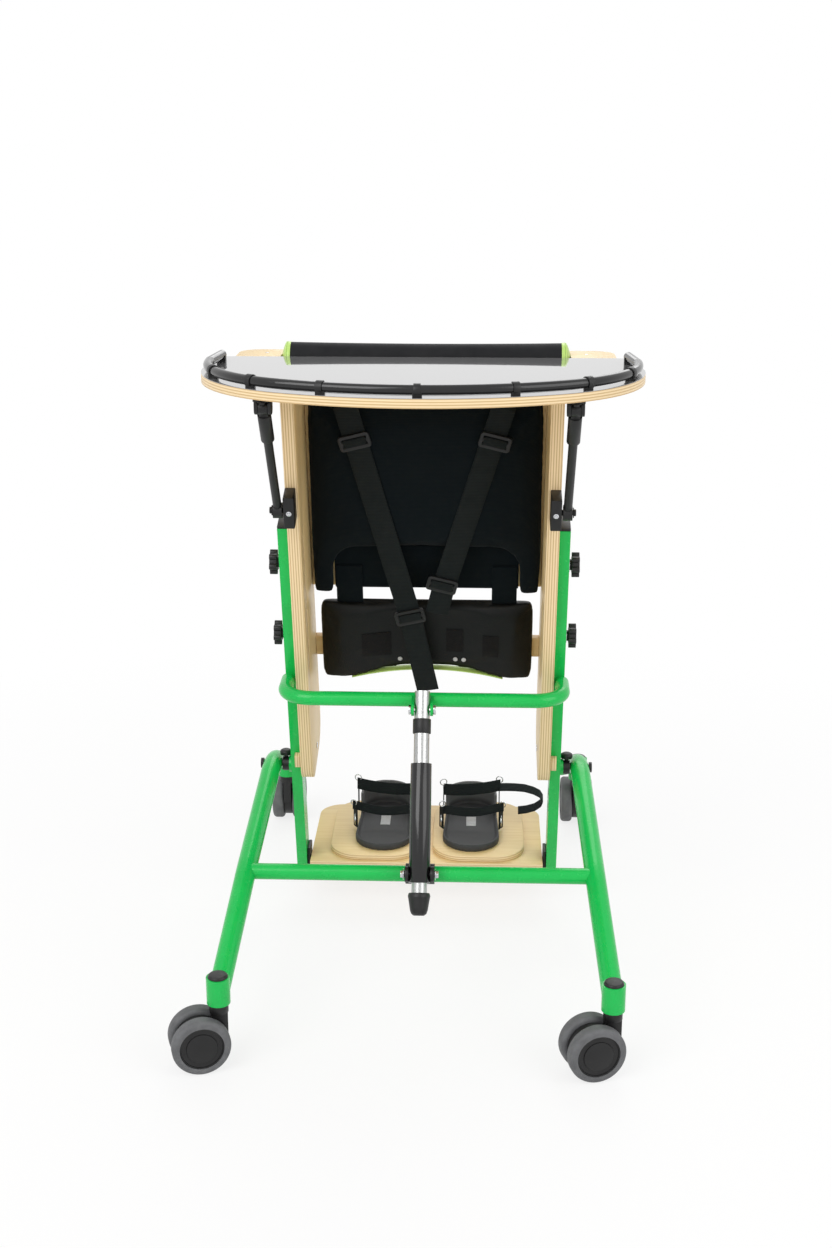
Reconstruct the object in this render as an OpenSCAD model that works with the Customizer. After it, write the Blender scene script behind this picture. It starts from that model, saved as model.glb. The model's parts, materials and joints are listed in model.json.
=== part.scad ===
// Standing frame for a child: a wheeled base, a tilting upright frame with ply side panels,
// trunk and knee pads, a tray with a chest roller, and a foot board with two sandals.
// +X is the right-hand side seen from the front, -Y is the front, +Z is up.

/* [Base] */
// Half the distance between the front caster stems
front_track = 264; // [240:1:290]
// Half the distance between the rear caster stems
rear_track = 258; // [240:1:280]
// Distance of the front stems in front of the centre
front_reach = 395; // [370:1:420]
// Distance of the rear stems behind the centre
rear_reach = 408; // [380:1:430]
// Outer radius of the side rails
rail_r = 14.5; // [13:0.5:16]
// Wall of the steel tubes
tube_wall = 1.5; // [1:0.1:2.5]
// Half the distance between the side rails at the pivots
pivot_half = 238; // [236:1:242]
// Height of the frame's pivot
pivot_z = 255; // [245:1:265]
// Place of the frame's pivot from front to back
pivot_y = 58; // [50:1:66]
// Radius of the cross tube
cross_r = 11.5; // [10:0.5:13]
// Place of the cross tube from front to back
cross_y = -203; // [-215:1:-195]
// Height of the cross tube
cross_z = 194; // [186:1:200]

/* [Casters] */
// Radius of a caster wheel
wheel_r = 40; // [36:1:42]
// Width of one wheel of the pair
wheel_w = 20; // [16:1:22]
// Half the gap between the two wheels
wheel_gap = 7.5; // [7:0.5:9]
// Distance of the axle behind the stem
trail = 28; // [24:1:32]
// Height of the caster housing's top
housing_z = 92; // [90:1:96]
// Turn of the front casters
front_turn = 107; // [0:1:180]

/* [Frame] */
// Forward lean of the uprights
lean = 15.4; // [10:0.1:20]
// Width of an upright's front face
upright_w = 16; // [15:0.5:17]
// Depth of an upright
upright_d = 40; // [34:1:46]
// Length of an upright below the pivot
upright_low = 195; // [180:1:205]
// Length of an upright above the pivot
upright_high = 432; // [420:1:445]
// Radius of the bow in front of the uprights
bow_r = 10.5; // [9:0.5:11]
// Height of the bow
bow_z = 417; // [405:1:425]
// Place of the bow's front tube
bow_y = -90; // [-105:1:-80]

/* [Main strut] */
// Place of the strut's lower pivot from front to back
strut_low_y = -232; // [-236:1:-230]
// Height of the strut's lower pivot
strut_low_z = 207; // [204:1:212]
// Drop of the strut's upper pivot below the bow
strut_drop = 4; // [2:1:6]
// Distance of the strut's upper pivot in front of the bow
strut_fore = 32; // [31:1:35]
// Radius of the bright inner tube
strut_r = 11; // [10:0.5:11.5]
// Radius of the black sleeve
sleeve_r = 15; // [14:0.5:15.5]
// Length of the sleeve above its pivot
sleeve_high = 156; // [145:1:157]
// Length of the sleeve below its pivot
sleeve_low = 12; // [11:1:13]

/* [Panels] */
// Thickness of the ply side panels
panel_t = 18; // [15:1:18]
// Reach of a panel in front of the upright's middle
panel_front = 35; // [30:1:40]
// Reach of a panel behind the upright's middle
panel_back = 112; // [110:1:125]
// Reach of a panel below the pivot
panel_low = 20; // [10:1:30]
// Thickness of the boards that carry the pads
board_t = 12; // [9:1:12]

/* [Pads] */
// Gap between the trunk pad and a side panel
trunk_gap = 1.7; // [1:0.1:6]
// Thickness of the trunk pad
trunk_t = 36; // [30:1:38]
// Height of the trunk pad's lower end above the pivot
trunk_low = 263; // [258:1:275]
// Height of the trunk pad's upper end above the pivot
trunk_high = 583; // [560:1:590]
// Gap between the knee pad and a side panel
knee_gap = 10.7; // [8:0.1:20]
// Thickness of the knee pad
knee_t = 26; // [20:1:30]
// Height of the knee pad's lower end above the pivot
knee_low = 104; // [95:1:115]
// Height of the knee pad's upper end above the pivot
knee_high = 246; // [235:1:248]
// Width of the harness webbing
strap_w = 34; // [30:1:38]

/* [Tray] */
// Height of the tray's top face
tray_z = 900; // [890:1:910]
// Thickness of the tray's ply
tray_t = 12; // [9:1:13]
// Half width of the tray
tray_half = 300; // [290:1:308]
// Place of the tray's front edge
tray_front = -337; // [-345:1:-330]
// Place of the laminate's rear edge
laminate_back = -3; // [-8:1:2]
// Place of the rear end of the wings
wing_back = 70; // [62:1:80]
// Step from the tray's widest point in to the wings' ends
wing_step = 30; // [24:1:38]
// Radius of the tray's rail
tray_rail_r = 6.5; // [5:0.5:7]
// Radius of the chest roller at its ends
roller_r = 24; // [20:0.5:25]
// Length by which each end of the chest roller stops short of the uprights' middle
roller_short = 2; // [1:1:10]

/* [Foot end] */
// Gap between the foot board and a bracket
foot_gap = 1; // [0.5:0.5:3]
// Place of the foot board's front edge
foot_front = 75; // [70:1:82]
// Length of the foot board
foot_len = 230; // [220:1:240]
// Height of the foot board's top
foot_z = 80; // [76:1:86]
// Width of a sandal
sandal_w = 92; // [84:1:98]
// Length of a sandal
sandal_len = 190; // [170:1:200]

/* [Hidden] */
$fn = 48;

// Cut overrun, running clearance of pins and clearance of parts that slide past each other
over = 1;
run = 0.05;
slip = 0.3;

green = [0.12, 0.62, 0.24];
black = [0.06, 0.06, 0.07];
birch = [0.86, 0.72, 0.5];
bright = [0.8, 0.81, 0.82];
grey = [0.5, 0.51, 0.52];
lime = [0.62, 0.8, 0.2];

// Rail bends
rail_low_bend = 150;
rail_top_bend = 120;
apex_drop = 7.3;
rail_spread = 11;
rail_draw = 6;
rail_tail_run = 10;
rail_mid_half = pivot_half + rail_spread;
rail_tail_half = pivot_half - rail_draw;
rail_tail_y = rear_reach + rail_tail_run;
rail_tail_z = 109;
rail_nose_z = 105;

// Caster stem and sleeve
stem_r = 6;
stem_len = 30;
sleeve_out_r = 16;
sleeve_z = 130;
cap_r = 14;
cap_t = 4;
hub_r = 30;
tyre_round = 6;
hub_disc_r = 21;
hub_dish = 2;
axle_r = 4;
core_r = 33;
core_half = wheel_gap - over;
neck_r = 13;
neck_low = 13;
web_half = 11;
web_low = 42;

// Pivot hardware
pivot_r = 4;
pivot_head_r = 8;
pivot_head_t = 5;
plate_r = 13;
plate_t = 5;
bush_r = 11;
bush_len = 10.5;
pivot_end = 4;
lock_knob_r = 9.2;
lock_knob_t = 8;
lock_stud_r = 3;
lock_gap = 4;

// Star knobs
knob_r = 18;
knob_t = 11;
knob_lobe_r = 4.5;
knob_lobes = 6;
knob_stud_r = 4;
knob_boss_r = 8;
knob_boss_t = 4;
knob_hs = [366, 244];
knob_reach = 11;
slide_down = 40;
slide_up = 60;

// Strut ends
strut_top = 260;
ring_low = 199;
ring_high = 220;
ring_r = 13;
tip_low = 57.5;
tip_high = 26;
tip_shares = [[0, 0], [0.5, 0], [0.72, 0.08], [0.84, 0.24], [1, 0.72], [1.06, 0.86], [0.98, 1], [0, 1]];
strut_wall = 2;
strut_pin_r = 4;
strut_hole_r = 5.4;
tab_t = 4;
tab_r = 9;
ear_t = 5;
ear_r = 11;
trunnion_r = 5;
saddle_r = 14.5;

// Panel details
panel_round = 40;
panel_top_gap = 14;
hinge_y = -70;
hinge_drop = 24;
hinge_r = 12;
hinge_boss_r = 17;
hinge_pin_r = 4;
ear_plate_t = 5;

// Tray details
laminate_t = 1;
relief = 0.3;
work_inset = 22;
tray_corner_r = 206;
corner_depth = 227;
corner_mid_y = tray_front + corner_depth;
wing_round = 30;
roller_y = 26;
roller_pin_r = 3;
roller_cap_t = 8;
roller_waist = 1.8;
roller_core_r = 8;
roller_pin_in = 8;
roller_slot = 9;
rail_inset = 10;
rail_lift = 9;
clip_half = 6;
rail_lap = 0.1;
clip_corner_turns = [24, 52];
clip_turns = [-17, 0, 17];
rail_end_gap = 45;
side_draw = 8;
band_t = 1.6;
band_turn = 0.6;
band_corner_turn = 1.3;
rail_end_y = laminate_back - rail_end_gap;

// Tray struts
knuckle_q = -57;
knuckle_h = 483;
knuckle_r = 11;
knuckle_w = 13;
clamp_q = -67;
clamp_low = 459;
clamp_high = 507;
clamp_in = 3;
clamp_pin_r = 4;
tray_eye_y = -258;
tray_eye_drop = 14;
rod_r = 6;
head_r = 9;
head_len = 50;
head_gap = 12;
rod_in = 44;
eye_r = 9;
eye_half = 6;
eye_pin_r = 3;
eye_hole_r = 3.8;
bracket_t = 4;
bracket_half = 17;
bracket_ear_t = 5;

// Foot end details
foot_t = 13;
foot_round = 40;
plate_half = 74;
plate_len = 222;
plate_h = 10;
plate_round = 50;
plate_gap = 9;
plate_step = 5;
plate_front = foot_front + plate_step;
swivel_back = 165;
swivel_y = plate_front + swivel_back;
swivel_r = 4;
sole_t = 8;
rim_t = 4;
rim_h = 5;
heel_h = 46;
heel_len = 62;
sandal_step = 12;
sandal_front = plate_front + sandal_step;
toe_share = 0.52;
heel_share = 0.455;
sandal_in = 12;
strap_t = 2.2;
foot_strap_w = 24;
instep_share = 0.48;
ankle_bow = 14;
ankle_z = 34;
wire_r = 1.3;
wire_ring_r = 9;
foot_bracket_t = 5;
foot_bracket_len = 34;
foot_bracket_up = 14;
shelf_len = 30;
shelf_t = 5;

// Harness
strap_thick = 1.8;
strap_qs = [60.2, 62.1];
strap_top = trunk_high + strap_thick;
left_strap = [[-112, strap_top], [-24, 235], [2, 108]];
right_strap = [[112, strap_top], [26, 285], [16, 240]];
buckle_w = 46;
buckle_h = 24;
buckle_t = 4;
buckle_bar = 5;
buckles = [[-100, 531, -15, 0], [100, 531, 15, 1], [24, 292, 15, 1], [-24, 236, -14, 0]];

// Pads
crown = 9;
pad_edge = 0.82;
layer_t = 6;
layer_low = 266;
flap_t = 3;
flap_w = 42;
flap_low = 250;
arch_half = 141;
arch_top = 347;
arch_round = 40;
knee_board_low = 138;
knee_board_high = 172;
knee_arch_r = 420;
knee_arch_rise = 20;
knee_hole_r = 4;
knee_holes = [[-33, 134], [48, 134], [62, 134]];
pad_cols = 20;
pad_rows = 14;

// Reach of a turned front caster, and the shift that puts the middle of the box at the origin
shoulder_r = wheel_r - tyre_round;
shoulder_x = wheel_gap + wheel_w - tyre_round;
caster_left = front_track + trail * sin(front_turn) + shoulder_r * abs(sin(front_turn))
    + shoulder_x * abs(cos(front_turn)) + tyre_round;
caster_front = front_reach - trail * cos(front_turn) + shoulder_r * abs(cos(front_turn))
    + shoulder_x * abs(sin(front_turn)) + tyre_round;
middle_x = (caster_left - tray_half) / 2;
middle_y = (caster_front - rear_reach - trail - wheel_r) / 2;
upright_half = pivot_half - rail_r - bush_len - plate_t - upright_w / 2;
upright_in = upright_half - upright_w / 2;
upright_out = upright_half + upright_w / 2;
panel_out = upright_in - slip;
panel_in = panel_out - panel_t;
trunk_half = panel_in - trunk_gap;
knee_half = panel_in - knee_gap;
wing_half = tray_half - wing_step;
roller_half = upright_half - roller_short;
tray_strut_x = upright_half;
foot_half = upright_in - foot_bracket_t - foot_gap;
plate_x = plate_half + plate_gap;
tray_under = tray_z - laminate_t - tray_t;
hinge_z = tray_under - hinge_drop;
eye_z = tray_under - tray_eye_drop;
bow_shift = 4;
bow_half = upright_half + bow_shift;
bow_bend = 43;
strut_high_y = bow_y - strut_fore;
strut_high_z = bow_z - strut_drop;
strut_lean = atan2(strut_high_y - strut_low_y, strut_high_z - strut_low_z);
strut_span = norm([strut_high_y - strut_low_y, strut_high_z - strut_low_z]);
board_q = panel_back - board_t;
front_big_r = ((tray_half - tray_corner_r) ^ 2 + (corner_mid_y - tray_front) ^ 2 - tray_corner_r ^ 2)
    / (2 * (corner_mid_y - tray_front - tray_corner_r));
front_big_y = tray_front + front_big_r;
front_turn_half = atan2(tray_half - tray_corner_r, front_big_y - corner_mid_y);

function unit(v) = v / norm(v);
// World place of a point of the leaning frame: q is behind the uprights, h is along them
function leaned_yz(q, h) = [pivot_y + q * cos(lean) - h * sin(lean),
    pivot_z + q * sin(lean) + h * cos(lean)];
function arc(c, r, a0, a1, n) = [for (i = [0:n]) let (a = a0 + (a1 - a0) * i / n)
    [c[0] + r * cos(a), c[1] + r * sin(a)]];
knuckle_yz = leaned_yz(knuckle_q, knuckle_h);
tray_strut_lean = atan2(tray_eye_y - knuckle_yz[0], eye_z - knuckle_yz[1]);
tray_strut_span = norm([tray_eye_y - knuckle_yz[0], eye_z - knuckle_yz[1]]);

module placed() { translate([middle_x, middle_y, 0]) children(); }
module leaning() { translate([0, pivot_y, pivot_z]) rotate([lean, 0, 0]) children(); }
module side(s) { if (s > 0) children(); else mirror([1, 0, 0]) children(); }

// Cylinder from one point to another
module rod(a, b, r) {
    d = b - a;
    translate(a) rotate([0, acos(d[2] / norm(d)), atan2(d[1], d[0])]) cylinder(h = norm(d), r = r);
}

// Round bar through points, bent to a radius at each inner point
module pipe(points, r, bends) {
    last = len(points) - 1;
    function trim(i) = i == 0 || i == last ? 0 : let (u = unit(points[i - 1] - points[i]),
        v = unit(points[i + 1] - points[i])) bends[i - 1] / tan(acos(u * v) / 2);
    for (i = [0:last - 1]) {
        d = unit(points[i + 1] - points[i]);
        rod(points[i] + d * max(0, trim(i) - over), points[i + 1] - d * max(0, trim(i + 1) - over), r);
    }
    if (last > 1) for (i = [1:last - 1]) {
        u = unit(points[i - 1] - points[i]);
        v = unit(points[i + 1] - points[i]);
        turn = acos(u * v);
        centre = points[i] + unit(u + v) * bends[i - 1] / sin(turn / 2);
        x = unit(points[i] + u * trim(i) - centre);
        n = unit(cross(v, u));
        y = cross(n, x);
        multmatrix([[x[0], y[0], n[0], centre[0]], [x[1], y[1], n[1], centre[1]],
            [x[2], y[2], n[2], centre[2]], [0, 0, 0, 1]])
            rotate_extrude(angle = 180 - turn) translate([bends[i - 1], 0]) circle(r + run);
    }
}

// Plate outline with round corners
module rounded(w, d, r) {
    translate([-w / 2 + r, -d / 2]) square([w - 2 * r, d]);
    translate([-w / 2, -d / 2 + r]) square([w, d - 2 * r]);
    for (x = [-1, 1], y = [-1, 1]) translate([x * (w / 2 - r), y * (d / 2 - r)]) circle(r);
}

// Cylinder along X between two x values at a place in the Y-Z plane
module across(x0, x1, y, z, r) {
    translate([x0, y, z]) rotate([0, 90, 0]) cylinder(h = x1 - x0, r = r);
}

// Extrudes a drawing in (y, z) along X
module slab_x(x0, x1) {
    multmatrix([[0, 0, 1, x0], [1, 0, 0, 0], [0, 1, 0, 0], [0, 0, 0, 1]])
        linear_extrude(x1 - x0) children();
}

// Straight link with round ends between two points of a plane
module link(a, b, r) {
    d = b - a;
    translate(a) circle(r);
    translate(b) circle(r);
    translate(a) rotate(atan2(d[1], d[0])) translate([0, -r]) square([norm(d), 2 * r]);
}

// Base
function rail_path() = [[front_track, -front_reach, rail_nose_z],
    [rail_mid_half, cross_y, cross_z], [pivot_half, pivot_y, pivot_z + apex_drop],
    [rail_tail_half, rail_tail_y, rail_tail_z]];
rail_bends = [rail_low_bend, rail_top_bend];

module side_frame() {
    path = rail_path();
    sleeves = [[front_track, -front_reach], [rear_track, rear_reach]];
    color(green) difference() {
        union() {
            pipe(path, rail_r, rail_bends);
            for (p = sleeves) translate([p[0], p[1], housing_z])
                cylinder(h = sleeve_z - housing_z, r = sleeve_out_r);
        }
        pipe([path[0] + unit(path[1] - path[0]) * 2 * sleeve_out_r, path[1], path[2],
            path[3] + unit(path[3] - path[2]) * over], rail_r - tube_wall, rail_bends);
        for (p = sleeves) translate([p[0], p[1], housing_z - over])
            cylinder(h = stem_len + 2 * over, r = stem_r + run);
        across(pivot_half - rail_r - over, pivot_half + rail_r + over, pivot_y, pivot_z, pivot_r);
    }
}
module side_frame_left() { side(-1) side_frame(); }
module side_frame_right() { side(1) side_frame(); }

module cross_tube() {
    color(green) difference() {
        across(-rail_mid_half, rail_mid_half, cross_y, cross_z, cross_r);
        across(-rail_mid_half - over, rail_mid_half + over, cross_y, cross_z, cross_r - tube_wall);
        for (s = [-1, 1]) side(s) pipe(rail_path(), rail_r + run, rail_bends);
    }
}

module sleeve_caps() {
    color(black) for (s = [-1, 1], p = [[front_track, -front_reach], [rear_track, rear_reach]])
        side(s) translate([p[0], p[1], sleeve_z])
            cylinder(h = cap_t, r1 = cap_r, r2 = cap_r - cap_t / 2);
}

module strut_bracket() {
    low = [strut_low_y, strut_low_z];
    tube = [cross_y, cross_z];
    ear_in = sleeve_r + slip * 2;
    color(black) difference() {
        union() {
            across(-ear_in - ear_t, ear_in + ear_t, cross_y, cross_z, saddle_r);
            for (s = [-1, 1]) side(s) slab_x(ear_in, ear_in + ear_t) link(tube, low, ear_r);
        }
        across(-ear_in - ear_t - over, ear_in + ear_t + over, cross_y, cross_z, cross_r);
        across(-ear_in - ear_t - over, ear_in + ear_t + over, low[0], low[1], trunnion_r + run);
    }
}

module pivot_bushes() {
    plate_end = upright_out + plate_t + slip;
    rail_in = pivot_half - rail_r - slip;
    color(black) for (s = [-1, 1]) side(s) difference() {
        union() {
            across(plate_end, rail_in, pivot_y, pivot_z, bush_r);
            across(upright_out - pivot_end, pivot_half + rail_r + pivot_head_t, pivot_y, pivot_z,
                pivot_r - run);
            across(pivot_half + rail_r + 2 * slip, pivot_half + rail_r + pivot_head_t, pivot_y, pivot_z,
                pivot_head_r);
        }
        translate([(plate_end + rail_in) / 2, pivot_y, pivot_z + lock_gap])
            cylinder(h = bush_r, r = lock_stud_r + run);
    }
}

// Casters: built with the stem on the Z axis and the axle behind it
function caster_place(i) = [[-front_track, -front_reach, front_turn],
    [front_track, -front_reach, front_turn],
    [-rear_track, rear_reach, 0], [rear_track, rear_reach, 0]][i];
module at_caster(i) {
    p = caster_place(i);
    translate([p[0], p[1], 0]) rotate(p[2]) children();
}
module caster_fork(i) {
    color(black) at_caster(i) difference() {
        union() {
            across(-core_half, core_half, trail, wheel_r, core_r);
            translate([-core_half, -web_half, web_low])
                cube([2 * core_half, 2 * web_half, housing_z - neck_low - web_low]);
            translate([0, 0, housing_z - neck_low]) cylinder(h = neck_low - slip, r = neck_r);
            translate([0, 0, housing_z - neck_low]) cylinder(h = neck_low + stem_len, r = stem_r);
        }
        across(-core_half - over, core_half + over, trail, wheel_r, axle_r + run);
    }
}
module caster_hubs(i) {
    color(black) at_caster(i) {
        across(-wheel_gap - wheel_w / 2, wheel_gap + wheel_w / 2, trail, wheel_r, axle_r);
        for (s = [-1, 1]) side(s) difference() {
            across(wheel_gap, wheel_gap + wheel_w - over, trail, wheel_r, hub_r);
            difference() {
                across(wheel_gap + wheel_w - over - hub_dish, wheel_gap + wheel_w, trail, wheel_r,
                    hub_r - hub_dish);
                across(wheel_gap, wheel_gap + wheel_w, trail, wheel_r, hub_disc_r);
            }
        }
    }
}
module caster_tyres(i) {
    color(grey) at_caster(i) for (s = [-1, 1]) side(s)
        translate([wheel_gap, trail, wheel_r]) rotate([0, 90, 0]) rotate_extrude() difference() {
            union() {
                translate([hub_r, 0]) square([wheel_r - hub_r - tyre_round, wheel_w]);
                translate([wheel_r - tyre_round, tyre_round]) circle(tyre_round);
                translate([wheel_r - tyre_round, wheel_w - tyre_round]) circle(tyre_round);
                translate([wheel_r - tyre_round, tyre_round])
                    square([tyre_round, wheel_w - 2 * tyre_round]);
            }
            translate([hub_r - tyre_round, -over]) square([tyre_round, wheel_w + 2 * over]);
        }
}

// Leaning frame
module upright() {
    color(green) leaning() difference() {
        union() {
            translate([upright_in, -upright_d / 2, -upright_low])
                cube([upright_w, upright_d, upright_low + upright_high]);
            across(upright_out, upright_out + plate_t, 0, 0, plate_r);
        }
        translate([upright_in + tube_wall, -upright_d / 2 + tube_wall, -upright_low - over])
            cube([upright_w - 2 * tube_wall, upright_d - 2 * tube_wall,
                upright_low + upright_high + 2 * over]);
        across(upright_out - tube_wall - over, upright_out + plate_t + over, 0, 0, pivot_r);
        for (h = knob_hs) across(upright_in - over, upright_out + over, 0, h, knob_stud_r + run);
    }
}
module upright_left() { side(-1) upright(); }
module upright_right() { side(1) upright(); }

module upright_plugs() {
    color(black) leaning() for (s = [-1, 1], h = [-upright_low - cap_t, upright_high]) side(s)
        translate([upright_in, -upright_d / 2, h]) cube([upright_w, upright_d, cap_t]);
}

module bow() {
    foot = leaned_yz(-upright_d / 2, 0);
    face_y = foot[0] - (bow_z - foot[1]) * tan(lean);
    arm = face_y + upright_d;
    path = [[-bow_half, arm, bow_z], [-bow_half, bow_y, bow_z], [bow_half, bow_y, bow_z],
        [bow_half, arm, bow_z]];
    color(green) {
        difference() {
            pipe(path, bow_r, [bow_bend, bow_bend]);
            difference() {
                pipe(path, bow_r - tube_wall, [bow_bend, bow_bend]);
                across(-strut_r - 2 * tab_r, strut_r + 2 * tab_r, bow_y, bow_z, bow_r);
            }
            for (s = [-1, 1]) side(s) leaning()
                translate([upright_in - over, -upright_d / 2, 0])
                    cube([upright_w + over * 8, upright_d * 2, upright_high]);
        }
        for (s = [-1, 1]) side(s) difference() {
            slab_x(strut_r + slip * 2, strut_r + slip * 2 + tab_t)
                link([bow_y, bow_z], [strut_high_y, strut_high_z], tab_r);
            across(strut_r, strut_r + 2 * tab_t, strut_high_y, strut_high_z, strut_pin_r);
        }
    }
}

module strut_pin() {
    end = strut_r + slip * 2 + tab_t;
    color(bright) {
        across(-end, end, strut_high_y, strut_high_z, strut_pin_r);
        for (s = [-1, 1]) side(s) across(end, end + tab_t, strut_high_y, strut_high_z, tab_r - 2 * over);
    }
}

// Main strut: built along Z from its lower pivot
module along_strut() {
    translate([0, strut_low_y, strut_low_z]) rotate([-strut_lean, 0, 0]) children();
}
module strut_sleeve() {
    color(black) along_strut() difference() {
        union() {
            translate([0, 0, -sleeve_low]) cylinder(h = sleeve_low + sleeve_high, r = sleeve_r);
            across(-sleeve_r - ear_t - 2 * over, sleeve_r + ear_t + 2 * over, 0, 0, trunnion_r);
        }
        translate([0, 0, -sleeve_low - over])
            cylinder(h = sleeve_low + sleeve_high + 2 * over, r = strut_r + run);
    }
}
module strut_tube() {
    color(bright) along_strut() difference() {
        translate([0, 0, -tip_high]) cylinder(h = tip_high + strut_top, r = strut_r);
        translate([0, 0, -tip_high - over])
            cylinder(h = tip_high + strut_top + 2 * over, r = strut_r - strut_wall);
        across(-strut_r - over, strut_r + over, 0, strut_span, strut_hole_r);
    }
}
module strut_trim() {
    color(black) along_strut() {
        translate([0, 0, ring_low]) difference() {
            cylinder(h = ring_high - ring_low, r = ring_r);
            translate([0, 0, -over]) cylinder(h = ring_high - ring_low + 2 * over, r = strut_r);
        }
        translate([0, 0, -tip_low]) rotate_extrude()
            polygon([for (p = tip_shares) [p[0] * sleeve_r, p[1] * (tip_low - tip_high)]]);
    }
}

// Knobs
module star_knob(h) {
    x0 = upright_out + slip;
    color(black) leaning() {
        across(panel_out - knob_reach, x0 + knob_boss_t, 0, h, knob_stud_r);
        across(x0, x0 + knob_boss_t, 0, h, knob_boss_r);
        across(x0 + knob_boss_t, x0 + knob_boss_t + knob_t, 0, h, knob_r - knob_lobe_r);
        for (i = [1:knob_lobes]) across(x0 + knob_boss_t, x0 + knob_boss_t + knob_t,
            (knob_r - knob_lobe_r) * cos(i * 360 / knob_lobes),
            h + (knob_r - knob_lobe_r) * sin(i * 360 / knob_lobes), knob_lobe_r);
    }
}
module star_knob_lu() { side(-1) star_knob(knob_hs[0]); }
module star_knob_ll() { side(-1) star_knob(knob_hs[1]); }
module star_knob_ru() { side(1) star_knob(knob_hs[0]); }
module star_knob_rl() { side(1) star_knob(knob_hs[1]); }

module lock_knob() {
    x = (upright_out + plate_t + pivot_half - rail_r) / 2;
    color(black) translate([x, pivot_y, pivot_z + lock_gap]) {
        cylinder(h = rail_r, r = lock_stud_r);
        translate([0, 0, rail_r - lock_gap + over]) rotate_extrude() intersection() {
            translate([0, -lock_knob_r / 2]) circle(lock_knob_r * 1.5);
            square([lock_knob_r, lock_knob_t]);
        }
    }
}
module lock_knob_left() { side(-1) lock_knob(); }
module lock_knob_right() { side(1) lock_knob(); }

// Side panels with the slots that the knob studs clamp in
module side_panel() {
    long = (tray_under - pivot_z) / cos(lean) + panel_front;
    slot_r = knob_stud_r + 2 * slip;
    color(birch) difference() {
        union() {
            difference() {
                leaning() translate([0, (panel_back - panel_front) / 2, 0]) slab_x(panel_in, panel_out)
                    translate([0, (long - panel_low) / 2])
                        rounded(panel_front + panel_back, long + panel_low, panel_round);
                translate([0, hinge_y - 2 * panel_back, tray_under - panel_top_gap])
                    cube([upright_half, 4 * panel_back, long]);
            }
            across(panel_in, panel_out, hinge_y, hinge_z, hinge_boss_r);
        }
        across(panel_in - over, panel_out + over, hinge_y, hinge_z, hinge_pin_r + run);
        leaning() for (h = knob_hs) slab_x(panel_in - over, panel_out + over)
            link([0, h - slide_up], [0, h + slide_down], slot_r);
    }
}
module side_panel_left() { side(-1) side_panel(); }
module side_panel_right() { side(1) side_panel(); }

module pad_boards() {
    color(birch) leaning() {
        translate([-panel_in, board_q, layer_low]) cube([2 * panel_in, board_t, trunk_high - layer_low]);
        translate([-panel_in, board_q, knee_board_low])
            cube([2 * panel_in, board_t, knee_board_high - knee_board_low]);
    }
}

// Upholstered pad: flat back, crowned front with drawn-in edges, and a fullness given along its width
module cushion(half, low, high, back, thick, fullness) {
    function swell(t) = 1 - abs(t) ^ 5;
    function full(u) = let (f = (u + 1) / 2 * (len(fullness) - 1), i = min(floor(f), len(fullness) - 2))
        fullness[i] + (fullness[i + 1] - fullness[i]) * (f - i);
    function draw(t) = 1 - (1 - pad_edge) * 0.1 * abs(t) ^ 6;
    n = pad_cols;
    m = pad_rows;
    us = [for (i = [0:n]) sin(-90 + 180 * i / n)];
    vs = [for (j = [0:m]) sin(-90 + 180 * j / m)];
    mid = (low + high) / 2;
    reach = (high - low) / 2;
    front = [for (v = vs, u = us) [half * u * draw(v), back - thick + crown
        - crown * swell(u) * swell(v) * full(u) + crown * (1 - full(u)) * swell(v),
            mid + reach * v * draw(u)]];
    rear = [for (v = vs, u = us) [half * u * draw(v), back, mid + reach * v * draw(u)]];
    w = n + 1;
    count = w * (m + 1);
    ring = concat([for (i = [0:n]) i], [for (j = [1:m]) j * w + n], [for (i = [1:n]) m * w + n - i],
        [for (j = [1:m - 1]) (m - j) * w]);
    faces = concat(
        [for (j = [0:m - 1], i = [0:n - 1]) each [[j * w + i, (j + 1) * w + i + 1, j * w + i + 1],
            [j * w + i, (j + 1) * w + i, (j + 1) * w + i + 1]]],
        [for (j = [0:m - 1], i = [0:n - 1]) each [[count + j * w + i, count + j * w + i + 1,
            count + (j + 1) * w + i + 1],
            [count + j * w + i, count + (j + 1) * w + i + 1, count + (j + 1) * w + i]]],
        [for (k = [0:len(ring) - 1]) let (a = ring[k], b = ring[(k + 1) % len(ring)])
            each [[a, b, count + b], [a, count + b, count + a]]]);
    polyhedron(concat(front, rear), faces);
}

module trunk_pad() {
    even_shares = [0.75, 1, 1, 1, 0.75];
    color(black) leaning() {
        difference() {
            cushion(trunk_half, trunk_low, trunk_high, board_q, trunk_t, even_shares);
            translate([0, board_q + over, 0]) rotate([90, 0, 0])
                linear_extrude(trunk_t + crown + 2 * over) {
                translate([-arch_half, trunk_low - over])
                    square([2 * arch_half, arch_top - arch_round - trunk_low + over]);
                translate([arch_round - arch_half, trunk_low])
                    square([2 * (arch_half - arch_round), arch_top - trunk_low]);
                for (s = [-1, 1]) translate([s * (arch_half - arch_round), arch_top - arch_round])
                    circle(arch_round);
            }
        }
        translate([slip - arch_half, board_q - layer_t, layer_low])
            cube([2 * (arch_half - slip), layer_t, arch_top - arch_round - layer_low]);
        for (s = [-1, 1]) translate([s * (arch_half - flap_w / 2 - over) - flap_w / 2,
            board_q - layer_t - flap_t, flap_low])
            cube([flap_w, flap_t, arch_top - arch_round - flap_low]);
    }
}

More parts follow.
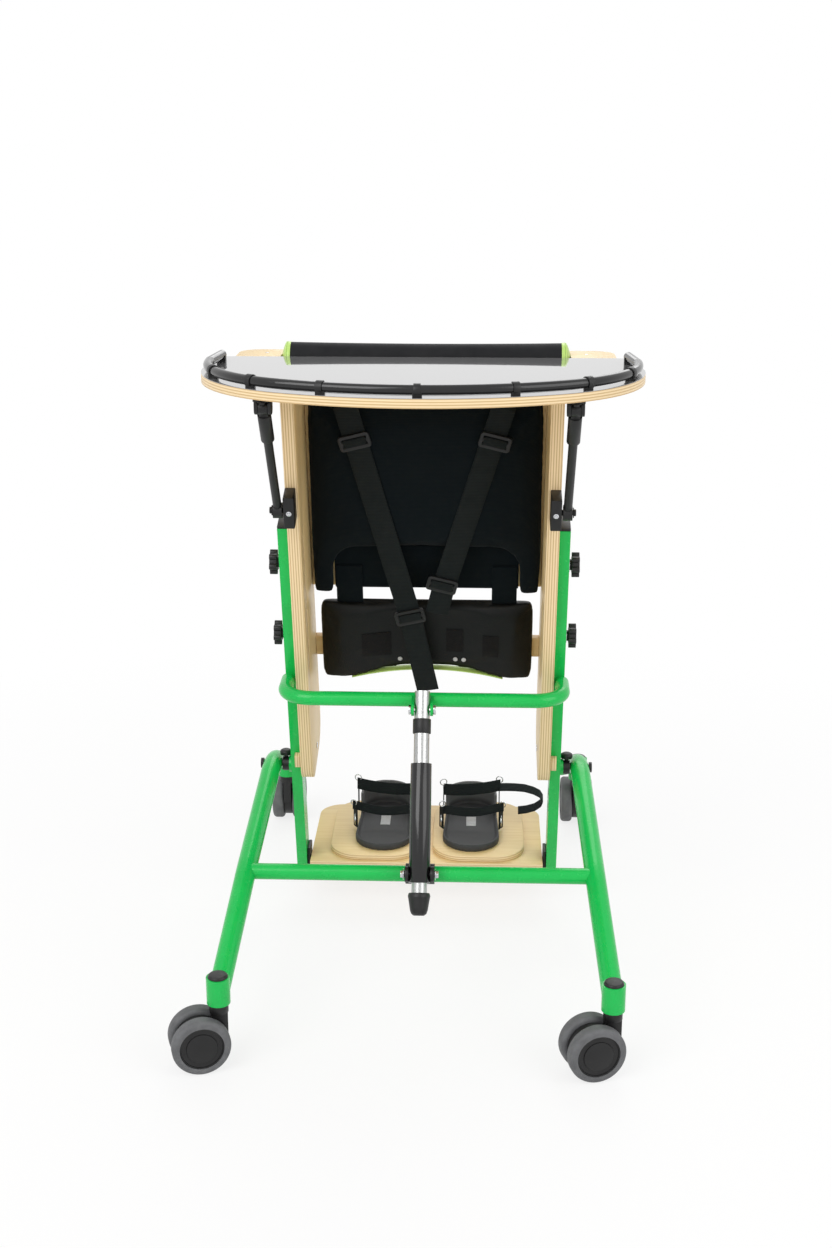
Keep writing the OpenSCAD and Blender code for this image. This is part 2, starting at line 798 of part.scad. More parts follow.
module knee_pad() {
    lobe_shares = [0.7, 1, 0.8, 0.15, 0, 0, 0, 0.15, 0.8, 1, 0.7];
    color(black) leaning() difference() {
        cushion(knee_half, knee_low, knee_high, board_q, knee_t, lobe_shares);
        translate([0, board_q + over, knee_low + knee_arch_rise - knee_arch_r]) rotate([90, 0, 0])
            cylinder(h = 3 * knee_t, r = knee_arch_r, $fn = 96);
        for (p = knee_holes) translate([p[0], board_q + over, p[1]]) rotate([90, 0, 0])
            cylinder(h = 3 * knee_t, r = knee_hole_r);
    }
}

// Webbing of the harness, hung over the trunk board's top edge
module webbing(points, q) {
    a = points[0] + unit(points[0] - points[1]) * strap_w;
    b = points[1];
    c = points[2];
    n1 = unit([a[1] - b[1], b[0] - a[0]]);
    n2 = unit([b[1] - c[1], c[0] - b[0]]);
    mitre = unit(n1 + n2) / (unit(n1 + n2) * n1);
    r = strap_w / 2;
    translate([0, q + strap_thick, 0]) rotate([90, 0, 0]) linear_extrude(strap_thick) difference() {
        polygon([a + n1 * r, b + mitre * r, c + n2 * r, c - n2 * r, b - mitre * r, a - n1 * r]);
        translate([-trunk_half, strap_top]) square([2 * trunk_half, 2 * strap_w]);
    }
    translate([points[0][0] - strap_w / 2, q + strap_thick, trunk_high])
        cube([strap_w, panel_back - q - strap_thick, strap_thick]);
}
module harness_straps() {
    color(black) leaning() {
        webbing(left_strap, strap_qs[0]);
        webbing(right_strap, strap_qs[1]);
    }
}
module harness_buckles() {
    color(black) leaning() for (b = buckles) translate([b[0], strap_qs[b[3]], b[1]])
        rotate([90, b[2], 0]) linear_extrude(buckle_t) difference() {
            rounded(buckle_w, buckle_h, buckle_bar);
            for (s = [-1, 1]) translate([0, s * (buckle_h / 4 - buckle_bar / 4)])
                square([buckle_w - 2 * buckle_bar, buckle_h / 2 - buckle_bar * 1.5], center = true);
        }
}

// Tray clamps on the panels' front edges, with the pins that carry the tray struts
module tray_clamps() {
    color(black) leaning() for (s = [-1, 1]) side(s) {
        translate([panel_in + clamp_in, clamp_q, clamp_low])
            cube([panel_t - clamp_in, -panel_front - clamp_q, clamp_high - clamp_low]);
        across(panel_out - over, tray_strut_x + knuckle_w / 2 + over, knuckle_q, knuckle_h, clamp_pin_r);
    }
}

// Tray outline: a large front arc, two corner arcs, then the wings
module tray_shape(inset) {
    r = tray_corner_r - inset;
    n = 12;
    half = tray_half - inset;
    corner_x = tray_half - tray_corner_r;
    tip = [wing_half - wing_round, wing_back - wing_round];
    front = arc([0, front_big_y], front_big_r - inset, -90 - front_turn_half, -90 + front_turn_half,
        2 * n);
    right = arc([corner_x, corner_mid_y], r, -90 + front_turn_half, 0, n);
    wing = arc(tip, wing_round - inset, 0, 90, n);
    right_side = concat(right, [[half, corner_mid_y], [half - side_draw, laminate_back],
        [wing_half - inset, laminate_back]], wing);
    left_side = [for (i = [len(right_side) - 1:-1:0]) [-right_side[i][0], right_side[i][1]]];
    polygon(concat(front, right_side, left_side));
}
module tray_board() {
    gap = roller_half + roller_cap_t + slip;
    color(birch) translate([0, 0, tray_under]) difference() {
        linear_extrude(tray_t) difference() {
            tray_shape(0);
            translate([-gap, laminate_back + over]) square([2 * gap, wing_back]);
        }
        across(-gap - roller_pin_in - over, gap + roller_pin_in + over, roller_y, tray_t / 2,
            roller_pin_r + run);
    }
}
module laminate_shape(inset, back) {
    intersection() {
        tray_shape(inset);
        translate([-tray_half, tray_front - over]) square([2 * tray_half, back - tray_front + over]);
    }
}
// The work surface, and a border under the rail that lies a little lower
module tray_laminate() {
    color(grey) translate([0, 0, tray_z - laminate_t]) {
        linear_extrude(laminate_t - relief) laminate_shape(0, laminate_back);
        linear_extrude(laminate_t) laminate_shape(work_inset, laminate_back - over);
    }
}

// Rail round the tray's front and sides
function side_top() = [tray_half - rail_inset - side_draw, rail_end_y];
module tray_rail_bar(r) {
    corner_x = tray_half - tray_corner_r;
    translate([0, 0, tray_z + rail_lift]) {
        translate([0, front_big_y, 0]) rotate(-90 - front_turn_half - rail_lap)
            rotate_extrude(angle = 2 * (front_turn_half + rail_lap))
                translate([front_big_r - rail_inset, 0]) circle(r);
        for (s = [-1, 1]) side(s) {
            translate([corner_x, corner_mid_y, 0]) rotate(-90 + front_turn_half)
                rotate_extrude(angle = 90 - front_turn_half) translate([tray_corner_r - rail_inset, 0])
                    circle(r + run);
            translate([tray_half - rail_inset, corner_mid_y, 0]) sphere(r + 2 * run);
            rod([tray_half - rail_inset, corner_mid_y, 0], concat(side_top(), [0]), r);
        }
    }
}
module tray_rail() { color(black) tray_rail_bar(tray_rail_r); }
module tray_rail_clips() {
    corner_x = tray_half - tray_corner_r;
    module post(p) {
        translate([p[0] - clip_half, p[1] - clip_half, tray_z - relief])
            cube([2 * clip_half, 2 * clip_half, rail_lift + relief]);
    }
    module band(centre, r, from, turn) {
        translate([centre[0], centre[1], tray_z + rail_lift]) rotate(from - turn)
            rotate_extrude(angle = 2 * turn) translate([r - rail_inset, 0]) circle(tray_rail_r + band_t);
    }
    color(black) difference() {
        union() {
            for (a = clip_turns) {
                post([(front_big_r - rail_inset) * sin(a), front_big_y - (front_big_r - rail_inset) * cos(a)]);
                band([0, front_big_y], front_big_r, a - 90, band_turn);
            }
            for (s = [-1, 1]) {
                for (a = clip_corner_turns) {
                    post([s * (corner_x + (tray_corner_r - rail_inset) * cos(a)),
                        corner_mid_y - (tray_corner_r - rail_inset) * sin(a)]);
                    side(s) band([corner_x, corner_mid_y], tray_corner_r, -a, band_corner_turn);
                }
                post([s * side_top()[0], side_top()[1] - clip_half]);
            }
        }
        tray_rail_bar(tray_rail_r + run);
    }
}

// Brackets under the tray: a clevis for each strut and a hinge ear beside each panel
module tray_brackets() {
    fork_in = eye_half + slip;
    hinge_x = panel_out + slip;
    color(black) for (s = [-1, 1]) side(s) {
        translate([tray_strut_x - fork_in - bracket_ear_t, tray_eye_y - bracket_half,
            tray_under - bracket_t])
            cube([2 * (fork_in + bracket_ear_t), 2 * bracket_half, bracket_t]);
        for (x = [tray_strut_x - fork_in - bracket_ear_t, tray_strut_x + fork_in])
            slab_x(x, x + bracket_ear_t) link([tray_eye_y, eye_z],
                [tray_eye_y, tray_under - eye_r], eye_r);
        across(tray_strut_x - fork_in - bracket_ear_t, tray_strut_x + fork_in + bracket_ear_t,
            tray_eye_y, eye_z, eye_pin_r);
        slab_x(hinge_x, hinge_x + ear_plate_t) link([hinge_y, hinge_z],
            [hinge_y, tray_under - hinge_r], hinge_r);
        translate([hinge_x, hinge_y - 2 * hinge_r, tray_under - bracket_t])
            cube([ear_plate_t + 2 * hinge_r, 4 * hinge_r, bracket_t]);
        across(panel_in, hinge_x + ear_plate_t, hinge_y, hinge_z, hinge_pin_r);
    }
}

// Tray struts: built along Z from the knuckle
module along_tray_strut() {
    translate([tray_strut_x, knuckle_yz[0], knuckle_yz[1]]) rotate([-tray_strut_lean, 0, 0]) children();
}
module tray_strut_rods() {
    top = tray_strut_span - head_gap - head_len + rod_in;
    color(black) for (s = [-1, 1]) side(s) along_tray_strut() difference() {
        union() {
            across(-knuckle_w / 2 + slip, knuckle_w / 2, 0, 0, knuckle_r);
            cylinder(h = top, r = rod_r);
        }
        across(-knuckle_w, knuckle_w, 0, 0, clamp_pin_r + run);
    }
}
module tray_strut_heads() {
    low = tray_strut_span - head_gap - head_len;
    color(black) for (s = [-1, 1]) side(s) along_tray_strut() difference() {
        union() {
            translate([0, 0, low]) cylinder(h = head_len, r = head_r);
            across(-eye_half, eye_half, 0, tray_strut_span, eye_r);
            translate([-eye_half, -eye_half, low + head_len - over])
                cube([2 * eye_half, 2 * eye_half, head_gap]);
        }
        translate([0, 0, low - over]) cylinder(h = head_len - over, r = rod_r + run);
        across(-eye_half - over, eye_half + over, 0, tray_strut_span, eye_hole_r);
    }
}

// Chest roller, slightly waisted, on an axle held by the wings
module roller_pad() {
    n = 12;
    color(black) translate([-roller_half, roller_y, tray_under + tray_t / 2]) rotate([0, 90, 0])
        rotate_extrude()
        polygon(concat([[roller_core_r, 0]], [for (i = [0:n]) let (u = 2 * i / n - 1)
            [roller_r - roller_waist * (1 - u ^ 2), 2 * roller_half * i / n]],
                [[roller_core_r, 2 * roller_half]]));
}
module roller_axle() {
    z = tray_under + tray_t / 2;
    color(lime) {
        across(-roller_half, roller_half, roller_y, z, roller_core_r);
        for (s = [-1, 1]) side(s) {
            translate([roller_half, roller_y, z]) rotate([0, 90, 0]) rotate_extrude() intersection() {
                square([roller_r, roller_cap_t]);
                translate([0, roller_cap_t - 2 * roller_r]) circle(2 * roller_r);
            }
            across(roller_half, roller_half + roller_cap_t + roller_pin_in, roller_y, z, roller_pin_r);
        }
    }
}

// Foot end
module foot_board() {
    color(birch) difference() {
        translate([0, foot_front + foot_len / 2, foot_z - foot_t]) linear_extrude(foot_t) {
            rounded(2 * foot_half, foot_len, foot_round);
            translate([-foot_half, -foot_len / 2]) square([2 * foot_half, foot_len / 2]);
        }
        for (s = [-1, 1]) translate([s * plate_x, swivel_y, foot_z - foot_t - over])
            cylinder(h = foot_t + 2 * over, r = swivel_r + run);
    }
}
module foot_brackets() {
    y = leaned_yz(0, -upright_low)[0] - foot_bracket_len / 2;
    color(black) for (s = [-1, 1]) side(s) {
        translate([upright_in - foot_bracket_t, y, foot_z - foot_t - shelf_t])
            cube([foot_bracket_t, foot_bracket_len, foot_t + shelf_t + foot_bracket_up]);
        translate([upright_in - foot_bracket_t - shelf_len, y, foot_z - foot_t - shelf_t])
            cube([shelf_len + over, foot_bracket_len, shelf_t]);
    }
}
module foot_plate() {
    color(birch) {
        translate([plate_x, plate_front + plate_len / 2, foot_z + slip]) linear_extrude(plate_h)
            rounded(2 * plate_half, plate_len, plate_round);
        translate([plate_x, swivel_y, foot_z - foot_t]) cylinder(h = foot_t + plate_h, r = swivel_r);
    }
}
module foot_plate_left() { side(-1) foot_plate(); }
module foot_plate_right() { side(1) foot_plate(); }

// Sole outline: a round toe and a narrower round heel, with the toe at the front
module sole(inset) {
    toe_r = sandal_w / 2 - inset;
    heel_r = sandal_w * heel_share - inset;
    toe = [0, sandal_w * toe_share];
    heel = [0, sandal_len - sandal_w * heel_share];
    side_turn = asin((toe_r - heel_r) / (heel[1] - toe[1]));
    polygon(concat(arc(toe, toe_r, 180 - side_turn, 360 + side_turn, 24),
        arc(heel, heel_r, side_turn, 180 - side_turn, 24)));
}
sole_z = foot_z + slip + plate_h;
// Half of the sole's width at a place along it, and the instep strap that stands on its rim
function sole_half(y) = let (toe_y = sandal_w * toe_share, heel_r = sandal_w * heel_share)
    sandal_w / 2 + (heel_r - sandal_w / 2) * (y - toe_y) / (sandal_len - heel_r - toe_y);
instep_r = sole_half(sandal_len * instep_share - foot_strap_w / 2) + 2 * slip;
module at_sandal() { translate([plate_x - sandal_in, sandal_front, sole_z]) children(); }
module sandal() {
    color([0.2, 0.2, 0.21]) at_sandal() {
        linear_extrude(sole_t) sole(0);
        linear_extrude(sole_t + rim_h) difference() {
            sole(0);
            sole(rim_t);
        }
        linear_extrude(sole_t + heel_h) intersection() {
            difference() {
                sole(0);
                sole(rim_t);
            }
            translate([-sandal_w, sandal_len - heel_len]) square([2 * sandal_w, heel_len]);
        }
    }
}
module sandal_left() { side(-1) sandal(); }
module sandal_right() { side(1) sandal(); }

module sandal_straps() {
    ankle_half = sandal_w * heel_share - rim_t;
    bow_r = (ankle_half ^ 2 + ankle_bow ^ 2) / (2 * ankle_bow);
    bow_turn = asin(ankle_half / bow_r);
    low = sole_t + rim_h;
    color(black) at_sandal() {
        translate([0, sandal_len * instep_share + foot_strap_w / 2, sole_t]) rotate([90, 0, 0])
            rotate_extrude(angle = 180) translate([instep_r, 0]) square([strap_t, foot_strap_w]);
        translate([0, sandal_len - heel_len + bow_r - ankle_bow, sole_t + ankle_z])
            rotate(-90 - bow_turn) rotate_extrude(angle = 2 * bow_turn) translate([bow_r, 0])
                square([strap_t, foot_strap_w]);
    }
}
module sandal_straps_left() { side(-1) sandal_straps(); }
module sandal_straps_right() { side(1) sandal_straps(); }

// Wire rings that the sandal straps run through
module sandal_rings() {
    x = instep_r + strap_t + slip + wire_r;
    y = sandal_len * instep_share;
    color(bright) at_sandal() for (s = [-1, 1]) translate([s * x, y, sole_t + wire_ring_r])
        rotate([0, 90, 0])
        rotate_extrude() translate([wire_ring_r, 0]) circle(wire_r);
}
module sandal_rings_left() { side(-1) sandal_rings(); }
module sandal_rings_right() { side(1) sandal_rings(); }

placed() side_frame_left();
placed() side_frame_right();
placed() cross_tube();
placed() sleeve_caps();
placed() strut_bracket();
placed() pivot_bushes();
placed() caster_fork(0);  // caster_fork_fl
placed() caster_fork(1);  // caster_fork_fr
placed() caster_fork(2);  // caster_fork_rl
placed() caster_fork(3);  // caster_fork_rr
placed() caster_hubs(0);  // caster_hubs_fl
placed() caster_hubs(1);  // caster_hubs_fr
placed() caster_hubs(2);  // caster_hubs_rl
placed() caster_hubs(3);  // caster_hubs_rr
placed() caster_tyres(0);  // caster_tyres_fl
placed() caster_tyres(1);  // caster_tyres_fr
placed() caster_tyres(2);  // caster_tyres_rl
placed() caster_tyres(3);  // caster_tyres_rr
placed() upright_left();
placed() upright_right();
placed() upright_plugs();
placed() bow();
placed() strut_pin();
placed() strut_sleeve();
placed() strut_tube();
placed() strut_trim();
placed() star_knob_lu();
placed() star_knob_ll();
placed() star_knob_ru();
placed() star_knob_rl();
placed() lock_knob_left();
placed() lock_knob_right();
placed() side_panel_left();
placed() side_panel_right();
placed() pad_boards();
placed() trunk_pad();
placed() knee_pad();
placed() harness_straps();
placed() harness_buckles();
placed() tray_clamps();
placed() tray_board();
placed() tray_laminate();
placed() tray_rail();
placed() tray_rail_clips();
placed() tray_brackets();
placed() tray_strut_rods();
placed() tray_strut_heads();
placed() roller_pad();
placed() roller_axle();
placed() foot_board();
placed() foot_brackets();
placed() foot_plate_left();
placed() foot_plate_right();
placed() sandal_left();
placed() sandal_right();
placed() sandal_straps_left();
placed() sandal_straps_right();
placed() sandal_rings_left();
placed() sandal_rings_right();
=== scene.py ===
import json
import math

import bpy
from mathutils import Euler, Matrix, Vector


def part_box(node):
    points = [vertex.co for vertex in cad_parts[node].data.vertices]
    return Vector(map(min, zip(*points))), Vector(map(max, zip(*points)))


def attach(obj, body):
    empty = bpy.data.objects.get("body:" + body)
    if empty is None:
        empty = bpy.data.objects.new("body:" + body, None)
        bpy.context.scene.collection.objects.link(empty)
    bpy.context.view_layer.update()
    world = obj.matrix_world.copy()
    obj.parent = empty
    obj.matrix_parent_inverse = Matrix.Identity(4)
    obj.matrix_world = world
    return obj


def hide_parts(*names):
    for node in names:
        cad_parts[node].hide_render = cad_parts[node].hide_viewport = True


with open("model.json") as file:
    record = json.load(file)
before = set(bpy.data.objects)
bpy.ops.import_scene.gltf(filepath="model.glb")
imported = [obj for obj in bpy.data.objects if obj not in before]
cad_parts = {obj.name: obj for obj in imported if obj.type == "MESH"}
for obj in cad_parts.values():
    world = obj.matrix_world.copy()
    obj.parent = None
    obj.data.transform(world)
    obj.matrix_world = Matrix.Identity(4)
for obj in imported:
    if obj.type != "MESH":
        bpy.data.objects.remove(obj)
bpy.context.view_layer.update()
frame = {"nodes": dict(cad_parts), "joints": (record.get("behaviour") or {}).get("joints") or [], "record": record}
nodes = frame["nodes"]
subparts = frame["record"]["subparts"]
joints = {j["name"]: j for j in frame["joints"]}

# Places and directions of the leaning frame. Lengths are in metres, apart from the millimetres
# that place() and leaned() are given.
MM = 0.001
PIVOT = Vector(joints["frame_tilt"]["pos_m"])
PIVOT_DEPTH = 58
LEAN = math.radians(15.4)
LEAN_TURN = Matrix.Rotation(LEAN, 4, "X")
UPRIGHT_TURN = LEAN_TURN.inverted()
SIDEWAYS = LEAN_TURN @ Vector((1, 0, 0))
BACKWARD = LEAN_TURN @ Vector((0, 1, 0))
FORWARD = LEAN_TURN @ Vector((0, -1, 0))


def place(x, y, z):
    """A point given in millimetres from the frame's middle plane, front to back and up."""
    return Vector((PIVOT.x + x * MM, PIVOT.y + (y - PIVOT_DEPTH) * MM, z * MM))


def leaned(x, q, h):
    """A point of the leaning frame: x sideways, q behind the uprights' middle, h up along them."""
    return PIVOT + LEAN_TURN @ Vector((x * MM, q * MM, h * MM))


# Camera and light

CAMERA_AT = place(77, -2453, 1274)
CAMERA_DOWN = math.radians(17.43)
CAMERA_TURN = math.radians(2.11)
LIGHT_AIM = Vector((0, 0, 0.45))
# name, place, size and power
LAMPS = (("key", (-1.6, -2.2, 2.6), 2.2, 55),
         ("fill", (2.2, -1.6, 1.8), 2.0, 26),
         ("back", (0.4, 2.2, 2.4), 2.0, 24))


def set_camera():
    data = bpy.data.cameras.new("photo_camera")
    data.sensor_fit = "VERTICAL"
    data.sensor_height = 36.0
    data.lens = 50.0
    camera = bpy.data.objects.new("photo_camera", data)
    bpy.context.scene.collection.objects.link(camera)
    camera.location = CAMERA_AT
    camera.rotation_euler = Euler((math.pi / 2 - CAMERA_DOWN, 0.0, CAMERA_TURN), "XYZ")
    bpy.context.scene.camera = camera


def set_world():
    """A soft sky that lights the part, and plain white for what the camera and reflections see."""
    world = bpy.data.worlds.new("studio")
    bpy.context.scene.world = world
    world.use_nodes = True
    tree = world.node_tree
    tree.nodes.clear()
    link = tree.links.new
    out = tree.nodes.new("ShaderNodeOutputWorld")
    mix = tree.nodes.new("ShaderNodeMixShader")
    rays = tree.nodes.new("ShaderNodeLightPath").outputs
    seen = tree.nodes.new("ShaderNodeMath")
    seen.operation = "MAXIMUM"
    seen_too = tree.nodes.new("ShaderNodeMath")
    seen_too.operation = "MAXIMUM"
    soft = tree.nodes.new("ShaderNodeBackground")
    soft.inputs["Color"].default_value = (1.0, 0.99, 0.98, 1)
    soft.inputs["Strength"].default_value = 0.55
    plain = tree.nodes.new("ShaderNodeBackground")
    plain.inputs["Color"].default_value = (1.0, 1.0, 1.0, 1)
    plain.inputs["Strength"].default_value = 1.0
    link(rays["Is Camera Ray"], seen.inputs[0])
    link(rays["Is Glossy Ray"], seen.inputs[1])
    link(seen.outputs[0], seen_too.inputs[0])
    link(rays["Is Transmission Ray"], seen_too.inputs[1])
    link(seen_too.outputs[0], mix.inputs[0])
    link(soft.outputs[0], mix.inputs[1])
    link(plain.outputs[0], mix.inputs[2])
    link(mix.outputs[0], out.inputs["Surface"])


def set_lamps():
    for name, spot, size, power in LAMPS:
        data = bpy.data.lights.new(name, "AREA")
        data.size = size
        data.energy = power
        lamp = bpy.data.objects.new(name, data)
        bpy.context.scene.collection.objects.link(lamp)
        lamp.location = spot
        lamp.rotation_euler = (LIGHT_AIM - Vector(spot)).to_track_quat("-Z", "Y").to_euler()


bpy.context.scene.view_settings.view_transform = "Standard"
set_camera()
set_world()
set_lamps()


# Finishes

class Finish:
    """A procedural finish: a shader with its pattern on object coordinates."""

    def __init__(self, name, color, rough, metal=0.0, **sockets):
        self.mat = bpy.data.materials.new(name)
        self.mat.use_nodes = True
        self.tree = self.mat.node_tree
        self.shader = self.tree.nodes["Principled BSDF"]
        self.set("Base Color", (*color, 1))
        self.set("Roughness", rough)
        self.set("Metallic", metal)
        for socket, value in sockets.items():
            self.set(socket.replace("_", " "), value)
        self.coords = self.node("TexCoord").outputs["Object"]
        self.height = None

    def set(self, socket, value):
        self.shader.inputs[socket].default_value = value

    def node(self, kind, **values):
        """A new node, with its properties and its inputs given by name."""
        made = self.tree.nodes.new("ShaderNode" + kind)
        for key, value in values.items():
            if hasattr(made, key):
                setattr(made, key, value)
            else:
                made.inputs[key.replace("_", " ")].default_value = value
        return made

    def link(self, a, b):
        self.tree.links.new(a, b)

    def turned(self, scale=(1, 1, 1), turn=(0, 0, 0)):
        m = self.node("Mapping", Scale=scale, Rotation=turn)
        self.link(self.coords, m.inputs["Vector"])
        return m.outputs["Vector"]

    def noise(self, scale, detail=4, vector=None, rough=0.55):
        n = self.node("TexNoise", Scale=scale, Detail=detail, Roughness=rough)
        self.link(vector or self.coords, n.inputs["Vector"])
        return n.outputs["Fac"]

    def wave(self, scale, axis, vector, wobble=0.0):
        w = self.node("TexWave", wave_type="BANDS", bands_direction=axis, Scale=scale, Distortion=wobble)
        self.link(vector, w.inputs["Vector"])
        return w.outputs["Fac"]

    def ramp(self, fac, *stops):
        r = self.node("ValToRGB")
        elements = r.color_ramp.elements
        while len(elements) < len(stops):
            elements.new(0.5)
        for element, (at, color) in zip(elements, stops):
            element.position = at
            element.color = (*color, 1)
        self.link(fac, r.inputs["Fac"])
        return r.outputs["Color"]

    def math(self, operation, a, b):
        m = self.node("Math", operation=operation)
        for socket, value in zip(m.inputs, (a, b)):
            if isinstance(value, (int, float)):
                socket.default_value = value
            else:
                self.link(value, socket)
        return m.outputs[0]

    def span(self, value, low, high, start=0.0, end=1.0):
        """A value that goes from low to high while another goes from start to end."""
        m = self.node("MapRange", From_Min=start, From_Max=end, To_Min=low, To_Max=high)
        self.link(value, m.inputs["Value"])
        return m.outputs["Result"]

    def mix(self, fac, a, b):
        m = self.node("Mix", data_type="RGBA", blend_type="MIX")
        for socket, value in ((m.inputs[0], fac), (m.inputs[6], a), (m.inputs[7], b)):
            if isinstance(value, tuple):
                socket.default_value = (*value, 1)
            else:
                self.link(value, socket)
        return m.outputs[2]

    def color(self, out):
        self.link(out, self.shader.inputs["Base Color"])

    def shades(self, fac, dark, light, low=0.3, high=0.7):
        """Colours the surface from dark to light over a pattern."""
        self.color(self.ramp(fac, (low, dark), (high, light)))

    def rough(self, fac, low, high):
        self.link(self.span(fac, low, high), self.shader.inputs["Roughness"])

    def bump(self, fac, depth, strength):
        b = self.node("Bump", Strength=strength, Distance=depth)
        self.link(fac, b.inputs["Height"])
        if self.height is not None:
            self.link(self.height, b.inputs["Normal"])
        self.height = b.outputs["Normal"]
        self.link(self.height, self.shader.inputs["Normal"])
        return self


def green_paint():
    f = Finish("green_paint", (0.006, 0.50, 0.085), 0.26,
               Coat_Weight=0.12, Coat_Roughness=0.08, Specular_IOR_Level=0.3)
    f.shades(f.noise(14, 3), (0.005, 0.47, 0.078), (0.008, 0.53, 0.092))
    f.rough(f.noise(90, 2), 0.20, 0.32)
    return f.bump(f.noise(620, 2), 0.0003, 0.22).mat


def black_plastic():
    f = Finish("black_plastic", (0.007, 0.007, 0.00735), 0.42, Specular_IOR_Level=0.4)
    f.shades(f.noise(40, 4), (0.0056, 0.0056, 0.00595), (0.0105, 0.0105, 0.01085), high=0.75)
    f.rough(f.noise(160, 3), 0.34, 0.52)
    return f.bump(f.noise(1400, 2), 0.0002, 0.3).mat


def tyre_rubber():
    f = Finish("grey_tyre", (0.12, 0.12, 0.13), 0.6)
    wear = f.noise(55, 5)
    f.shades(wear, (0.095, 0.097, 0.102), (0.145, 0.148, 0.155), low=0.35)
    f.rough(wear, 0.5, 0.75)
    return f.bump(f.noise(900, 2), 0.0002, 0.3).mat


def drawn_aluminium():
    """Bright tube, with fine streaks along the main strut."""
    strut_lean = -0.49
    f = Finish("bright_aluminium", (0.45, 0.455, 0.45), 0.28, 1.0, Anisotropic=0.4)
    streak = f.noise(900, 3, f.turned((1, 1, 0.03), (strut_lean, 0, 0)))
    f.shades(streak, (0.38, 0.385, 0.38), (0.52, 0.525, 0.52))
    f.rough(streak, 0.2, 0.4)
    return f.bump(streak, 0.0001, 0.25).mat


def plated_steel():
    f = Finish("steel_wire", (0.62, 0.63, 0.65), 0.2, 1.0)
    spots = f.noise(300, 4)
    f.shades(spots, (0.52, 0.53, 0.55), (0.68, 0.69, 0.71), high=0.65)
    f.rough(spots, 0.14, 0.3)
    return f.mat


def birch_ply(name, layer_axis, grain, turn=(0, 0, 0)):
    """Birch ply: grain along the faces, and thin layers that show on the edges."""
    layer_scale = 86
    face_from = 0.6
    f = Finish(name, (0.82, 0.61, 0.31), 0.4, Coat_Weight=0.08, Coat_Roughness=0.25, Specular_IOR_Level=0.35)
    board = f.turned((1, 1, 1), turn)
    fibre = f.noise(1.0, 5, f.turned(grain, turn), 0.6)
    face = f.ramp(fibre, (0.25, (0.74, 0.53, 0.25)), (0.5, (0.82, 0.61, 0.31)), (0.8, (0.88, 0.69, 0.39)))
    face = f.mix(f.span(f.noise(9, 3, board), 0.0, 0.35), face, (0.84, 0.62, 0.31))
    layers = f.wave(layer_scale, layer_axis, board)
    edge = f.ramp(layers, (0.10, (0.58, 0.39, 0.19)), (0.40, (0.82, 0.62, 0.35)), (0.8, (0.90, 0.72, 0.46)))
    edge = f.mix(f.span(fibre, 0.0, 0.3), edge, (0.74, 0.54, 0.28))
    normal = f.node("Mapping", vector_type="NORMAL", Rotation=turn)
    f.link(f.node("NewGeometry").outputs["Normal"], normal.inputs["Vector"])
    split = f.node("SeparateXYZ")
    f.link(normal.outputs["Vector"], split.inputs["Vector"])
    facing = f.math("ABSOLUTE", split.outputs[layer_axis], 0)
    f.color(f.mix(f.math("LESS_THAN", facing, face_from), face, edge))
    f.rough(fibre, 0.32, 0.5)
    return f.bump(fibre, 0.0004, 0.25).mat


def grey_laminate():
    f = Finish("grey_laminate", (0.25, 0.25, 0.255), 0.05, Coat_Weight=1.0, Coat_Roughness=0.02)
    f.shades(f.noise(420, 3), (0.235, 0.236, 0.24), (0.265, 0.266, 0.27))
    f.rough(f.noise(16, 4), 0.03, 0.07)
    return f.mat


def gloss_black():
    f = Finish("black_tube", (0.005, 0.005, 0.0055), 0.16,
               Coat_Weight=0.2, Coat_Roughness=0.06, Specular_IOR_Level=0.4)
    f.rough(f.noise(60, 4), 0.1, 0.24)
    return f.bump(f.noise(500, 2), 0.0001, 0.15).mat


def lime_plastic():
    f = Finish("lime_plastic", (0.5, 0.73, 0.18), 0.3)
    f.shades(f.noise(45, 3), (0.46, 0.68, 0.15), (0.54, 0.78, 0.21))
    f.rough(f.noise(120, 3), 0.24, 0.4)
    return f.bump(f.noise(800, 2), 0.0002, 0.2).mat


def knit_fabric():
    f = Finish("black_fabric", (0.004, 0.005, 0.006), 0.85,
               Sheen_Weight=0.04, Sheen_Roughness=0.4, Specular_IOR_Level=0.12)
    pad = f.turned((1, 1, 1), (-LEAN, 0, 0))
    loops = f.math("MULTIPLY", f.wave(190, "X", pad, 0.6), f.wave(150, "Z", pad, 0.6))
    cloud = f.noise(30, 4)
    yarn = f.ramp(cloud, (0.3, (0.005, 0.0095, 0.0125)), (0.75, (0.008, 0.0135, 0.017)))
    f.color(f.mix(f.span(loops, 0.0, 0.7), (0.0025, 0.0055, 0.0075), yarn))
    f.rough(cloud, 0.75, 0.95)
    return f.bump(loops, 0.0006, 0.7).bump(f.noise(70, 3), 0.0012, 0.25).mat


def grained_vinyl():
    f = Finish("black_vinyl", (0.006, 0.0065, 0.0065), 0.45, Specular_IOR_Level=0.22)
    grain = f.node("TexVoronoi", Scale=520.0)
    f.link(f.coords, grain.inputs["Vector"])
    cloud = f.noise(24, 4)
    f.shades(cloud, (0.002, 0.003, 0.003), (0.005, 0.006, 0.006), high=0.75)
    f.rough(cloud, 0.38, 0.55)
    return f.bump(grain.outputs["Distance"], 0.0005, 0.4).bump(f.noise(45, 3), 0.001, 0.2).mat


